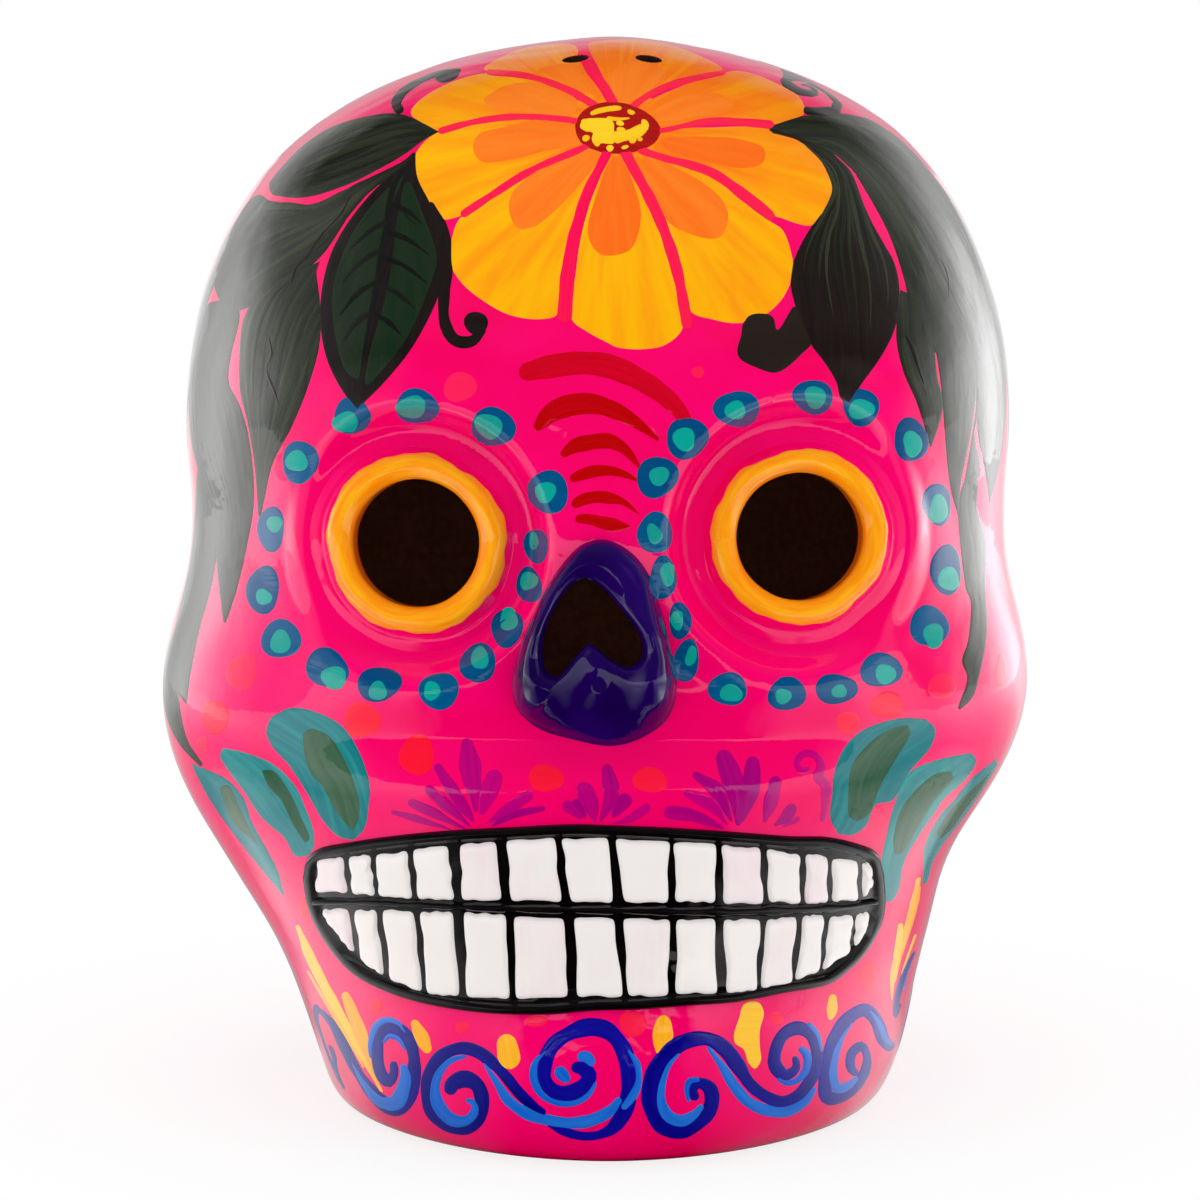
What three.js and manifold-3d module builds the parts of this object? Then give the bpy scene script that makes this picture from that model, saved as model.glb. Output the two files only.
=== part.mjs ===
// Painted clay skull: a hollow, hand-pressed Day of the Dead ornament with an open foot.
// Millimetres, +Z up, face towards -Y, standing on z = 0 with the middle of its depth on y = 0.
// The clay was pressed as a face half and a back half, joined along an upright seam. Rolled
// collars round the eyes, the nose and the mouth with its two rows of teeth are laid on the face.

import * as THREE from "three";
import { mergeVertices } from "three/addons/utils/BufferGeometryUtils.js";
import Module from "manifold-3d";

const wasm = await Module();
wasm.setup();

// Driving dimensions
const SKULL_HEIGHT = 149; // foot to crown
const SKULL_WIDTH = 123; // across the cheekbones
const SKULL_DEPTH = 141; // chin to the back of the head
const WALL = 5.5; // thickness of the pressed clay
const SEAT_GAP = 0.3; // between a laid-on piece and the clay under it
const OVERRUN = 4; // how far a cutter runs past what it cuts

// Eyes
const EYE_BORE_RADIUS = 8.9;
const COLLAR_BAND = 6.1; // from the bore to the collar's outer foot
const COLLAR_RISE = 3.6; // crest above the socket floor
const collarCrestShare = 0.34; // of the band, from the bore to the crest
const collarLipShare = 0.62; // of the crest's height, where the bevel into the bore begins
const SEAT_SINK = 0.8; // how deep the collar's seat is pressed into the floor
const SOCKET_DEPTH = 3.7; // floor below the face at the eye's middle
const SOCKET_MARGIN = 0.8; // flat floor left round the collar
const SOCKET_SLOPE = 6.8; // from the flat floor out to the untouched face
const ORBIT_RISE = 0.9; // raised rim of clay round the socket
const ORBIT_SPREAD = 4; // how far that rim spreads
const EYE_SHIFT = 1.4; // both eyes sit a little to the right of the middle, as shaped by hand
const EYE_TURN = THREE.MathUtils.degToRad(9); // each eye looks this far outwards
const EYE_TILT = THREE.MathUtils.degToRad(8); // and this far upwards
const eyeSpreadShare = 0.2077; // of the width, from the face's middle to an eye
const eyeHeightShare = 0.592; // of the height

// Nose
const NOSE_HEIGHT = 28;
const NOSE_WIDTH = 22.4;
const NOSE_HOLE_HEIGHT = 13.2;
const NOSE_HOLE_WIDTH = 13.4;
const NOSE_RISE = 6.2; // crest of the nostrils above the face
const NOSE_EDGE = 0.9; // thickness left at the outer edge
const BRIDGE_RISE = 2.2; // ridge of clay between the eyes
const BRIDGE_SPREAD = 7;
const bridgeTopShare = 0.69; // of the height, where the ridge runs out
const noseFootShare = 0.404; // of the height, where the nose ends below
const noseHoleFootShare = 0.34; // of the nose's height, where its hole begins
const noseCrestShares = { top: 0.52, lobe: 1, middle: 0.62, hole: 0.55 }; // of NOSE_RISE
const noseCrestShare = 0.45; // of the way from the hole to the outer edge, where the crest runs

// Mouth
const MOUTH_HALF_ANGLE = THREE.MathUtils.degToRad(44); // from the middle round to the last tooth
const UPPER_TOOTH_HEIGHT = 9.4;
const LOWER_TOOTH_HEIGHT = 11.6;
const LINE_WIDTH = 1.9; // black line round the teeth and between the rows
const LINE_RISE = 0.9; // how far the line stands above the face
const TOOTH_RISE = 0.9; // crown of a tooth above the face
const GROOVE_RISE = 0.15; // the grooves between teeth, above the face
const MOUTH_SINK = 1.5; // pocket under the mouth
const TEETH_PER_ROW = 14;
const mouthHeightShare = 0.25; // of the height, the line between the rows
const widerToothShare = 0.1; // how much wider the middle teeth are than the mean
const upperTaperShare = 0.42; // how much shorter the last upper teeth are
const UPPER_POWER = 2.6; // how late the upper edge bends down
const CORNER_POWER = 14; // how tight the upper corners are
const LOWER_POWER = 2.4; // how square the lower edge's curve is
const toothFlankShare = 0.62; // of half a tooth, how far its flat crown reaches
const rowEndShare = 0.985; // the rows stop just short of their points

// Crown
const VENT_RADIUS = 1.9;
const VENT_SPACING = 10.4;
const VENT_SHIFT = 2; // both vents sit a little to the right
const ventForwardShare = 0.068; // of the depth, from the middle towards the face
const seamShare = 0.07; // of the depth, from the middle towards the back

// The form below the widest section of the cranium, from the foot up. Shares of the height,
// of half the width, and of half the depth for the reach to the front, the reach to the back
// and the place of the widest point. The last number is how square the face's corners are.
const formShares = [
  [0.0, 0.59, 0.82, 0.42, -0.23, 2.2],
  [0.0, 0.62, 0.87, 0.47, -0.23, 2.2],
  [0.0, 0.632, 0.895, 0.49, -0.23, 2.2],
  [0.01, 0.65, 0.93, 0.525, -0.23, 2.2],
  [0.04, 0.675, 0.972, 0.58, -0.23, 2.3],
  [0.09, 0.706, 0.984, 0.645, -0.23, 2.35],
  [0.145, 0.738, 0.965, 0.72, -0.23, 2.4],
  [0.2, 0.791, 0.955, 0.795, -0.24, 2.4],
  [0.26, 0.857, 0.952, 0.86, -0.25, 2.4],
  [0.32, 0.953, 0.948, 0.92, -0.25, 2.5],
  [0.38, 1.003, 0.938, 0.965, -0.23, 2.7],
  [0.44, 1.005, 0.93, 0.995, -0.18, 2.8],
  [0.51, 0.948, 0.925, 1.013, -0.08, 2.8],
  [0.58, 0.946, 0.92, 1.021, 0.0, 2.75],
];
const domeFootShare = 0.65; // of the height, where the dome begins
const domeShares = { width: 0.968, front: 0.91, back: 1.023, middle: 0.07 };
const DOME_POWER = 2.2; // 2 is an ellipse, more is squarer
const CROWN_POWER = 2.1; // squareness of the sections at the crown and the back

// Smoothness of the meshes
const FACE_BEARING = THREE.MathUtils.degToRad(50); // the features lie within this bearing
const FACE_COLUMNS = 32; // within that bearing
const CHEEK_COLUMNS = 4; // on from there to each side
const BACK_COLUMNS = 16;
const JAW_ROWS = 10; // below the eyes
const EYE_ROWS = 20;
const DOME_ROWS = 8; // above the eyes
const cavityMeshShare = 0.5; // the cavity takes this share of the columns and rows
const eyeZoneShare = 1.6; // of the socket's radius, how far up and down the closer rows run
const RING_STEPS = 32;
const SLOPE_STEPS = 6; // over a collar's outer slope
const LIP_STEPS = 4; // down its bevel into the bore
const MOUTH_COLUMNS = 24;
const MOUTH_ROWS = 4;
const DOME_STEPS = 8;
const NUDGE = 0.01; // a small step for finding which way the face looks

const halfWidth = SKULL_WIDTH / 2;
const halfDepth = SKULL_DEPTH / 2;
const collarRadius = EYE_BORE_RADIUS + COLLAR_BAND;
const floorRadius = collarRadius + SOCKET_MARGIN;
const rimRadius = floorRadius + SOCKET_SLOPE;

// A closed mesh as a solid for cutting and joining.
function solidOf(geometry) {
  const bare = geometry.index ? geometry.toNonIndexed() : geometry.clone();
  bare.deleteAttribute("normal");
  bare.deleteAttribute("uv");
  const merged = mergeVertices(bare);
  return new wasm.Manifold(
    new wasm.Mesh({
      numProp: 3,
      vertProperties: merged.attributes.position.array,
      triVerts: new Uint32Array(merged.index.array),
    }),
  );
}

// A solid back as a geometry that three.js can draw.
function geometryOf(solid) {
  const mesh = solid.getMesh();
  const places = new Float32Array(mesh.numVert * 3);
  for (let i = 0; i < mesh.numVert; i++) {
    const from = i * mesh.numProp;
    places.set(mesh.vertProperties.subarray(from, from + 3), i * 3);
  }
  const geometry = new THREE.BufferGeometry();
  geometry.setAttribute("position", new THREE.BufferAttribute(places, 3));
  geometry.setIndex(new THREE.BufferAttribute(mesh.triVerts, 1));
  geometry.computeVertexNormals();
  return geometry;
}

// A uniform cubic B-spline through a table of rows, for u from 0 to rows.length - 3.
function splineRow(table, u) {
  const start = Math.min(Math.floor(u), table.length - 4);
  const f = u - start;
  const weights = [
    (1 - f) ** 3 / 6,
    (3 * f ** 3 - 6 * f ** 2 + 4) / 6,
    (-3 * f ** 3 + 3 * f ** 2 + 3 * f + 1) / 6,
    f ** 3 / 6,
  ];
  return table[start].map((_, column) =>
    weights.reduce((sum, w, k) => sum + w * table[start + k][column], 0),
  );
}

// The control rows of the skull, or of the cavity that lies inset within it. Each row holds
// height, half width, reach to the front, reach to the back, middle and squareness.
function controlRows(inset) {
  const rows = formShares.map(([z, w, front, back, middle, power]) => [
    z * SKULL_HEIGHT,
    w * halfWidth - inset,
    front * halfDepth - inset,
    back * halfDepth - inset,
    middle * halfDepth,
    power,
  ]);
  const foot = rows[0];
  const below = inset > 0 ? -OVERRUN : 0;
  const first = [below, ...foot.slice(1)];
  rows.unshift(first, first, first);
  const domeFoot = domeFootShare * SKULL_HEIGHT;
  const middle = domeShares.middle * halfDepth;
  const facePower = rows[rows.length - 1][5];
  for (let k = 0; k <= DOME_STEPS + 1; k++) {
    const angle = (Math.PI / 2) * (k / DOME_STEPS);
    const out = Math.sign(Math.cos(angle)) * Math.abs(Math.cos(angle)) ** (2 / DOME_POWER);
    const up = Math.sin(angle) ** (2 / DOME_POWER);
    rows.push([
      domeFoot + (SKULL_HEIGHT - inset - domeFoot) * up,
      (domeShares.width * halfWidth - inset) * out,
      (domeShares.front * halfDepth - inset + middle) * out - middle,
      (domeShares.back * halfDepth - inset - middle) * out + middle,
      middle,
      THREE.MathUtils.lerp(facePower, CROWN_POWER, Math.min(1, k / DOME_STEPS)),
    ]);
  }
  return rows;
}

const skullRows = controlRows(0);
const cavityRows = controlRows(WALL);
const crownU = skullRows.length - 3;

// The plain loft: phi is the bearing round the head from the face, u runs up it. Each section
// is a superellipse, squarer at the face than at the back.
function loftPoint(rows, phi, u) {
  const [z, w, front, back, middle, facePower] = splineRow(rows, u);
  const sine = Math.sin(phi);
  const cosine = Math.cos(phi);
  const power = cosine > 0 ? facePower : CROWN_POWER;
  const reach = cosine > 0 ? front + middle : back - middle;
  const sum = Math.abs(sine * reach) ** power + Math.abs(cosine * w) ** power;
  const radius = sum > 0 ? (w * reach) / sum ** (1 / power) : 0;
  return new THREE.Vector3(radius * sine, middle - radius * cosine, z);
}

// How far up the loft a height lies.
function heightPlace(z) {
  let low = 0;
  let high = crownU;
  for (let i = 0; i < 40; i++) {
    const middle = (low + high) / 2;
    if (splineRow(skullRows, middle)[0] < z) low = middle;
    else high = middle;
  }
  return low;
}

// Where the plain face has a given x and z.
function facePlace(x, z) {
  const u = heightPlace(z);
  const [, w, front, , middle, power] = splineRow(skullRows, u);
  const rest = (1 - Math.min(1, Math.abs(x) / w) ** power) ** (1 / power);
  return { phi: Math.atan2(x, (front + middle) * rest), u };
}

// An eye's frame: its middle on the socket floor, and the axis that it looks along.
function eyeFrame(side) {
  const x = EYE_SHIFT + side * eyeSpreadShare * SKULL_WIDTH;
  const z = eyeHeightShare * SKULL_HEIGHT;
  const { phi, u } = facePlace(x, z);
  const axis = new THREE.Vector3(
    side * Math.sin(EYE_TURN) * Math.cos(EYE_TILT),
    -Math.cos(EYE_TURN) * Math.cos(EYE_TILT),
    Math.sin(EYE_TILT),
  );
  const floor = loftPoint(skullRows, phi, u).addScaledVector(axis, -SOCKET_DEPTH);
  return { side, axis, floor };
}

const eyes = [eyeFrame(-1), eyeFrame(1)];

// Presses the socket's flat floor into a point of the skull, with a smooth slope out to the
// face and a raised rim of clay round it.
function pressSocket(point, eye, inset) {
  const local = point.clone().sub(eye.floor);
  const height = local.dot(eye.axis);
  const radius = local.addScaledVector(eye.axis, -height).length();
  if (radius > 2 * rimRadius || point.y > 0) return;
  const out = THREE.MathUtils.smoothstep(radius, floorRadius, rimRadius);
  const ring = Math.exp(-(((radius - rimRadius) / ORBIT_SPREAD) ** 2));
  const pressed = THREE.MathUtils.lerp(-inset, height, out) + ORBIT_RISE * ring;
  point.addScaledVector(eye.axis, pressed - height);
}

const bridgeTop = bridgeTopShare * SKULL_HEIGHT;
const bridgeFoot = noseFootShare * SKULL_HEIGHT;

// A point of the face with the bridge of the nose, before the sockets are pressed in.
function bridgePoint(rows, phi, u) {
  const point = loftPoint(rows, phi, u);
  if (Math.cos(phi) > 0) {
    const half = NOSE_HEIGHT / 2;
    const across = Math.exp(-((point.x / BRIDGE_SPREAD) ** 2));
    const up = THREE.MathUtils.smoothstep(point.z, bridgeFoot, bridgeFoot + half);
    const down = THREE.MathUtils.smoothstep(point.z, bridgeTop - half, bridgeTop);
    point.y -= BRIDGE_RISE * across * up * (1 - down);
  }
  return point;
}

// A point of the finished skull, or of its cavity.
function skullPoint(rows, inset, phi, u) {
  const point = bridgePoint(rows, phi, u);
  if (Math.cos(phi) > 0) for (const eye of eyes) pressSocket(point, eye, inset);
  return point;
}

// A closed mesh over rings of points: ring by ring, with a middle point at each end.
function ringedSolid(rings, firstMiddle, lastMiddle) {
  const places = [];
  const faces = [];
  const count = rings[0].length;
  for (const ring of rings) for (const p of ring) places.push(p.x, p.y, p.z);
  const at = (r, c) => r * count + (c % count);
  for (let r = 0; r + 1 < rings.length; r++) {
    for (let c = 0; c < count; c++) {
      faces.push(at(r, c), at(r, c + 1), at(r + 1, c));
      faces.push(at(r, c + 1), at(r + 1, c + 1), at(r + 1, c));
    }
  }
  const bottom = rings.length * count;
  const top = bottom + 1;
  places.push(...firstMiddle.toArray(), ...lastMiddle.toArray());
  for (let c = 0; c < count; c++) {
    faces.push(bottom, at(0, c + 1), at(0, c));
    faces.push(top, at(rings.length - 1, c), at(rings.length - 1, c + 1));
  }
  const geometry = new THREE.BufferGeometry();
  geometry.setAttribute("position", new THREE.Float32BufferAttribute(places, 3));
  geometry.setIndex(faces);
  return solidOf(geometry);
}

// Even steps from one value up to another, without the last.
function evenSteps(from, to, count) {
  return Array.from({ length: count }, (_, i) => THREE.MathUtils.lerp(from, to, i / count));
}

// The head as one solid, from its control rows. It takes closer steps round the eyes.
function headSolid(rows, inset, share) {
  const side = Math.PI / 2;
  const angles = [
    ...evenSteps(-side, -FACE_BEARING, CHEEK_COLUMNS * share),
    ...evenSteps(-FACE_BEARING, FACE_BEARING, FACE_COLUMNS * share),
    ...evenSteps(FACE_BEARING, side, CHEEK_COLUMNS * share),
    ...evenSteps(side, 3 * side, BACK_COLUMNS * share),
  ];
  const reach = eyeZoneShare * rimRadius;
  const eyesFoot = heightPlace(eyes[0].floor.z - reach);
  const eyesTop = heightPlace(eyes[0].floor.z + reach);
  const levels = [
    ...evenSteps(0, eyesFoot, JAW_ROWS * share),
    ...evenSteps(eyesFoot, eyesTop, EYE_ROWS * share),
    ...evenSteps(eyesTop, crownU, DOME_ROWS * share),
  ];
  const rings = levels.map((u) => angles.map((phi) => skullPoint(rows, inset, phi, u)));
  const foot = new THREE.Vector3(0, 0, rings[0][0].z);
  return ringedSolid(rings, foot, skullPoint(rows, inset, 0, crownU));
}

// A frame on the finished face, for laying things on it.
function faceFrame(phi, u) {
  const at = (p, v) => skullPoint(skullRows, 0, p, v);
  const place = at(phi, u);
  const across = at(phi + NUDGE, u).sub(at(phi - NUDGE, u));
  const up = at(phi, u + NUDGE).sub(at(phi, u - NUDGE));
  return { place, normal: across.cross(up).normalize() };
}

// A closed slab laid over the face: a grid of places, each with a low and a high face.
function laidSlab(grid) {
  const rows = grid.length;
  const columns = grid[0].length;
  const places = [];
  const faces = [];
  for (const key of ["low", "high"]) {
    for (const row of grid) {
      for (const spot of row) {
        const p = spot.place.clone().addScaledVector(spot.normal, spot[key]);
        places.push(p.x, p.y, p.z);
      }
    }
  }
  const low = (r, c) => r * columns + c;
  const high = (r, c) => rows * columns + r * columns + c;
  const quad = (a, b, c, d) => faces.push(a, b, c, a, c, d);
  for (let r = 0; r + 1 < rows; r++) {
    for (let c = 0; c + 1 < columns; c++) {
      quad(high(r, c), high(r, c + 1), high(r + 1, c + 1), high(r + 1, c));
      quad(low(r, c), low(r + 1, c), low(r + 1, c + 1), low(r, c + 1));
    }
    quad(low(r, 0), high(r, 0), high(r + 1, 0), low(r + 1, 0));
    const end = columns - 1;
    quad(high(r, end), low(r, end), low(r + 1, end), high(r + 1, end));
  }
  for (let c = 0; c + 1 < columns; c++) {
    quad(low(0, c), low(0, c + 1), high(0, c + 1), high(0, c));
    const end = rows - 1;
    quad(high(end, c), high(end, c + 1), low(end, c + 1), low(end, c));
  }
  const geometry = new THREE.BufferGeometry();
  geometry.setAttribute("position", new THREE.Float32BufferAttribute(places, 3));
  geometry.setIndex(faces);
  return solidOf(geometry);
}

// Something turned about an eye's axis, as a geometry placed on the skull.
function onEye(geometry, eye, height) {
  const turn = new THREE.Quaternion().setFromUnitVectors(new THREE.Vector3(0, 1, 0), eye.axis);
  const middle = eye.floor.clone().addScaledVector(eye.axis, height);
  const matrix = new THREE.Matrix4().compose(middle, turn, new THREE.Vector3(1, 1, 1));
  return geometry.clone().applyMatrix4(matrix);
}

// The rolled collar of clay round an eye, turned about its own axis from its seat up.
function collarGeometry() {
  const foot = SEAT_GAP;
  const crest = SEAT_SINK + COLLAR_RISE;
  const crestRadius = EYE_BORE_RADIUS + COLLAR_BAND * collarCrestShare;
  const lipHeight = crest * collarLipShare;
  const profile = [new THREE.Vector2(EYE_BORE_RADIUS, foot), new THREE.Vector2(collarRadius, foot)];
  const outer = new THREE.EllipseCurve(
    crestRadius, SEAT_SINK, collarRadius - crestRadius, COLLAR_RISE, 0, Math.PI / 2,
  );
  const inner = new THREE.EllipseCurve(
    crestRadius, lipHeight, crestRadius - EYE_BORE_RADIUS, crest - lipHeight, Math.PI / 2, Math.PI,
  );
  profile.push(...outer.getPoints(SLOPE_STEPS), ...inner.getPoints(LIP_STEPS).slice(1));
  profile.push(profile[0].clone());
  return new THREE.LatheGeometry(profile, RING_STEPS);
}

// Cuts an eye's seat and its hole through the wall.
function cutEye(shell, eye) {
  const seatRadius = collarRadius + SEAT_GAP;
  const seatHeight = SEAT_SINK + OVERRUN;
  const seat = new THREE.CylinderGeometry(seatRadius, seatRadius, seatHeight, RING_STEPS);
  const boreRadius = EYE_BORE_RADIUS + SEAT_GAP;
  const boreLength = 2 * (WALL + SOCKET_DEPTH);
  const bore = new THREE.CylinderGeometry(boreRadius, boreRadius, boreLength, RING_STEPS);
  return shell
    .subtract(solidOf(onEye(seat, eye, seatHeight / 2 - SEAT_SINK)))
    .subtract(solidOf(onEye(bore, eye, 0)));
}

// Half outlines of the nose and its hole, as shares of half the width and of the height,
// from the top round the right side to the foot.
const noseOutlineShares = [
  [0, 1], [0.3, 0.965], [0.52, 0.88], [0.74, 0.71], [0.9, 0.5], [1, 0.29], [0.9, 0.13],
  [0.62, 0.045], [0, 0],
];
const noseHoleShares = [
  [0, 1], [0.24, 0.92], [0.46, 0.78], [0.7, 0.6], [0.92, 0.4], [1, 0.2], [0.76, 0.02],
  [0.4, 0.1], [0, 0.33],
];
const noseFoot = noseFootShare * SKULL_HEIGHT;
const noseHoleFoot = noseFoot + noseHoleFootShare * NOSE_HEIGHT;

// A closed outline from its right half, evenly stepped from the top and round by the right.
function mirroredOutline(shares, width, height, foot) {
  const right = shares.map(([x, z]) => new THREE.Vector3((x * width) / 2, 0, foot + z * height));
  const left = right.slice(1, -1).reverse().map((p) => new THREE.Vector3(-p.x, 0, p.z));
  const curve = new THREE.CatmullRomCurve3([...right, ...left], true, "centripetal");
  return curve.getSpacedPoints(RING_STEPS).slice(0, RING_STEPS);
}

const noseOutline = mirroredOutline(noseOutlineShares, NOSE_WIDTH, NOSE_HEIGHT, noseFoot);
const noseHole = mirroredOutline(
  noseHoleShares, NOSE_HOLE_WIDTH, NOSE_HOLE_HEIGHT, noseHoleFoot,
);

// How high the nose's crest stands at a step round it: two nostrils, low at the top.
function noseCrest(step) {
  const turn = (2 * Math.PI * step) / RING_STEPS;
  const { top, lobe, middle } = noseCrestShares;
  const low = (1 - Math.cos(turn)) / 2;
  const lobes = Math.sin(turn) ** 2;
  const share = THREE.MathUtils.lerp(top, middle, low) + (lobe - middle) * low * lobes * 2;
  return NOSE_RISE * Math.min(share, lobe);
}

// An outline moved outwards by a margin, or inwards by one below zero.
function grownOutline(outline, margin) {
  const count = outline.length;
  return outline.map((p, i) => {
    const along = outline[(i + 1) % count].clone().sub(outline[(i + count - 1) % count]);
    const outwards = new THREE.Vector3(-along.z, 0, along.x).normalize();
    return p.clone().addScaledVector(outwards, margin);
  });
}

const noseTopShares = [0, 0.12, 0.28, noseCrestShare, 0.62, 0.78, 0.91, 1];
const noseFloorShares = [1, 0.72, noseCrestShare, 0.2, 0];

// A spot under the nose, between its hole and its outer edge, a height in front of the clay.
function noseFloorSpot(hole, outer, span, height) {
  const { x, z } = hole.clone().lerp(outer, span);
  const { phi, u } = facePlace(x, z);
  const place = skullPoint(skullRows, 0, phi, u);
  place.y -= height;
  return place;
}

// A spot on top of the nose, a height in front of the face as it was before the sockets.
function noseTopSpot(hole, outer, span, height) {
  const { x, z } = hole.clone().lerp(outer, span);
  const { phi, u } = facePlace(x, z);
  const sunk = THREE.MathUtils.smoothstep(span, noseCrestShare, 1);
  const place = bridgePoint(skullRows, phi, u).lerp(skullPoint(skullRows, 0, phi, u), sunk);
  place.y -= height;
  return place;
}

// The nose, laid on the face round its hole: a ring whose section swells to a crest.
function noseSolid() {
  const sections = noseOutline.map((outer, step) => {
    const hole = noseHole[step];
    const crest = noseCrest(step);
    const inner = noseCrestShares.hole * crest;
    const over = noseTopShares.map((span) => {
      const edge = span < noseCrestShare ? inner : NOSE_EDGE;
      const far = span < noseCrestShare ? noseCrestShare : 1 - noseCrestShare;
      const rest = Math.sqrt(1 - Math.min(1, (Math.abs(span - noseCrestShare) / far) ** 2));
      return noseTopSpot(hole, outer, span, edge + (crest - edge) * rest);
    });
    const low = SEAT_GAP - SEAT_SINK;
    const under = noseFloorShares.map((span) => noseFloorSpot(hole, outer, span, low));
    return [...over, ...under];
  });
  return tubeSolid(sections);
}

// The seat pressed into the face for the nose, as a solid to cut away.
function noseSeat() {
  const widerOutline = grownOutline(noseOutline, SEAT_GAP);
  const narrowerHole = grownOutline(noseHole, -SEAT_GAP);
  const sections = noseOutline.map((outer, step) => {
    const hole = noseHole[step];
    const wide = widerOutline[step];
    const narrow = narrowerHole[step];
    const over = [0, 0.5, 1].map((span) => noseFloorSpot(narrow, wide, span, OVERRUN));
    const under = noseFloorShares.map((span) => noseFloorSpot(hole, outer, span, -SEAT_SINK));
    return [
      ...over,
      noseFloorSpot(narrow, wide, 1, -SEAT_SINK),
      ...under,
      noseFloorSpot(narrow, wide, 0, -SEAT_SINK),
    ];
  });
  return tubeSolid(sections);
}

// A closed tube through sections that come round to the first again.
function tubeSolid(sections) {
  const count = sections[0].length;
  const places = sections.flatMap((section) => section.flatMap((p) => p.toArray()));
  const faces = [];
  const at = (s, c) => (s % sections.length) * count + (c % count);
  for (let s = 0; s < sections.length; s++) {
    for (let c = 0; c < count; c++) {
      faces.push(at(s, c), at(s + 1, c), at(s, c + 1));
      faces.push(at(s + 1, c), at(s + 1, c + 1), at(s, c + 1));
    }
  }
  const geometry = new THREE.BufferGeometry();
  geometry.setAttribute("position", new THREE.Float32BufferAttribute(places, 3));
  geometry.setIndex(faces);
  return solidOf(geometry);
}

// The nose's hole through the wall, cut straight back.
function noseHoleCutter() {
  const shape = new THREE.Shape(noseHole.map((p) => new THREE.Vector2(p.x, p.z)));
  const depth = halfDepth;
  const geometry = new THREE.ExtrudeGeometry(shape, { depth, bevelEnabled: false });
  geometry.rotateX(Math.PI / 2);
  return solidOf(geometry);
}

// Mouth: positions run from -1 at its left end to 1 at its right end.
const mouthHeight = mouthHeightShare * SKULL_HEIGHT;
const jawRow = splineRow(skullRows, heightPlace(mouthHeight));
const mouthReach = MOUTH_HALF_ANGLE * ((jawRow[1] + jawRow[2] + jawRow[4]) / 2);

// The bearing of a place along the mouth, for a mouth that reaches past the teeth by a margin.
function mouthBearing(along, margin) {
  const spread = along + (widerToothShare * Math.sin(Math.PI * along)) / Math.PI;
  return MOUTH_HALF_ANGLE * (1 + margin / mouthReach) * spread;
}

// Heights of the teeth above and below the line between the rows.
function upperEdge(along) {
  const taper = 1 - upperTaperShare * Math.abs(along) ** UPPER_POWER;
  return UPPER_TOOTH_HEIGHT * taper * Math.sqrt(1 - Math.abs(along) ** CORNER_POWER);
}

function lowerEdge(along) {
  return LOWER_TOOTH_HEIGHT * (1 - Math.abs(along) ** LOWER_POWER) ** (1 / LOWER_POWER);
}

// A spot on the face for laying a slab: its bearing and height, and the slab's two faces.
function mouthSpot(bearing, z, low, high) {
  return { ...faceFrame(bearing, heightPlace(z)), low, high };
}

// A slab over the mouth from one edge to another, its outline grown all round by a margin.
function mouthSlab(from, to, margin, low, high) {
  const grid = [];
  for (let r = 0; r <= MOUTH_ROWS; r++) {
    const line = [];
    for (let c = 0; c <= MOUTH_COLUMNS; c++) {
      const along = Math.sin(Math.PI * (c / MOUTH_COLUMNS - 0.5));
      const bottom = mouthHeight + from(along) - margin;
      const top = mouthHeight + to(along) + margin;
      const z = THREE.MathUtils.lerp(bottom, top, r / MOUTH_ROWS);
      line.push(mouthSpot(mouthBearing(along, margin), z, low, high));
    }
    grid.push(line);
  }
  return laidSlab(grid);
}

const halfLine = LINE_WIDTH / 2;
const upperFrom = () => halfLine;
const upperTo = (along) => halfLine + upperEdge(rowEndShare * along);
const lowerFrom = (along) => -halfLine - lowerEdge(rowEndShare * along);
const lowerTo = () => -halfLine;

// The pocket pressed into the face for the mouth.
function mouthPocket() {
  const margin = LINE_WIDTH + SEAT_GAP;
  return mouthSlab(lowerFrom, upperTo, margin, -MOUTH_SINK, OVERRUN);
}

// The raised line round the mouth and between the rows, with a window for each row.
function mouthLineSolid() {
  const low = SEAT_GAP - MOUTH_SINK;
  const whole = mouthSlab(lowerFrom, upperTo, LINE_WIDTH, low, LINE_RISE);
  const past = low - OVERRUN / 2;
  const over = LINE_RISE + OVERRUN / 2;
  return whole
    .subtract(mouthSlab(upperFrom, upperTo, 0, past, over))
    .subtract(mouthSlab(lowerFrom, lowerTo, 0, past, over));
}

// How a tooth swells from its edge to its crown, for a place between -1 and 1 across it.
function swell(across) {
  return Math.sqrt(1 - across ** 6);
}

// One row of teeth: pillows side by side on one backing, with a groove between each two.
function toothRow(from, to) {
  const marks = [-1, -toothFlankShare, toothFlankShare];
  const levels = [...marks, 1];
  const columns = [];
  for (let tooth = 0; tooth < TEETH_PER_ROW; tooth++) {
    for (const mark of marks) columns.push([tooth + (mark + 1) / 2, mark]);
  }
  columns.push([TEETH_PER_ROW, 1]);
  const grid = levels.map((level) =>
    columns.map(([place, mark]) => {
      const along = (2 * place) / TEETH_PER_ROW - 1;
      const bottom = mouthHeight + from(along) + SEAT_GAP;
      const top = mouthHeight + to(along) - SEAT_GAP;
      const z = THREE.MathUtils.lerp(bottom, top, (level + 1) / 2);
      const high = GROOVE_RISE + (TOOTH_RISE - GROOVE_RISE) * swell(mark) * swell(level);
      return mouthSpot(mouthBearing(along, -SEAT_GAP), z, SEAT_GAP - MOUTH_SINK, high);
    }),
  );
  return laidSlab(grid);
}

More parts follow.
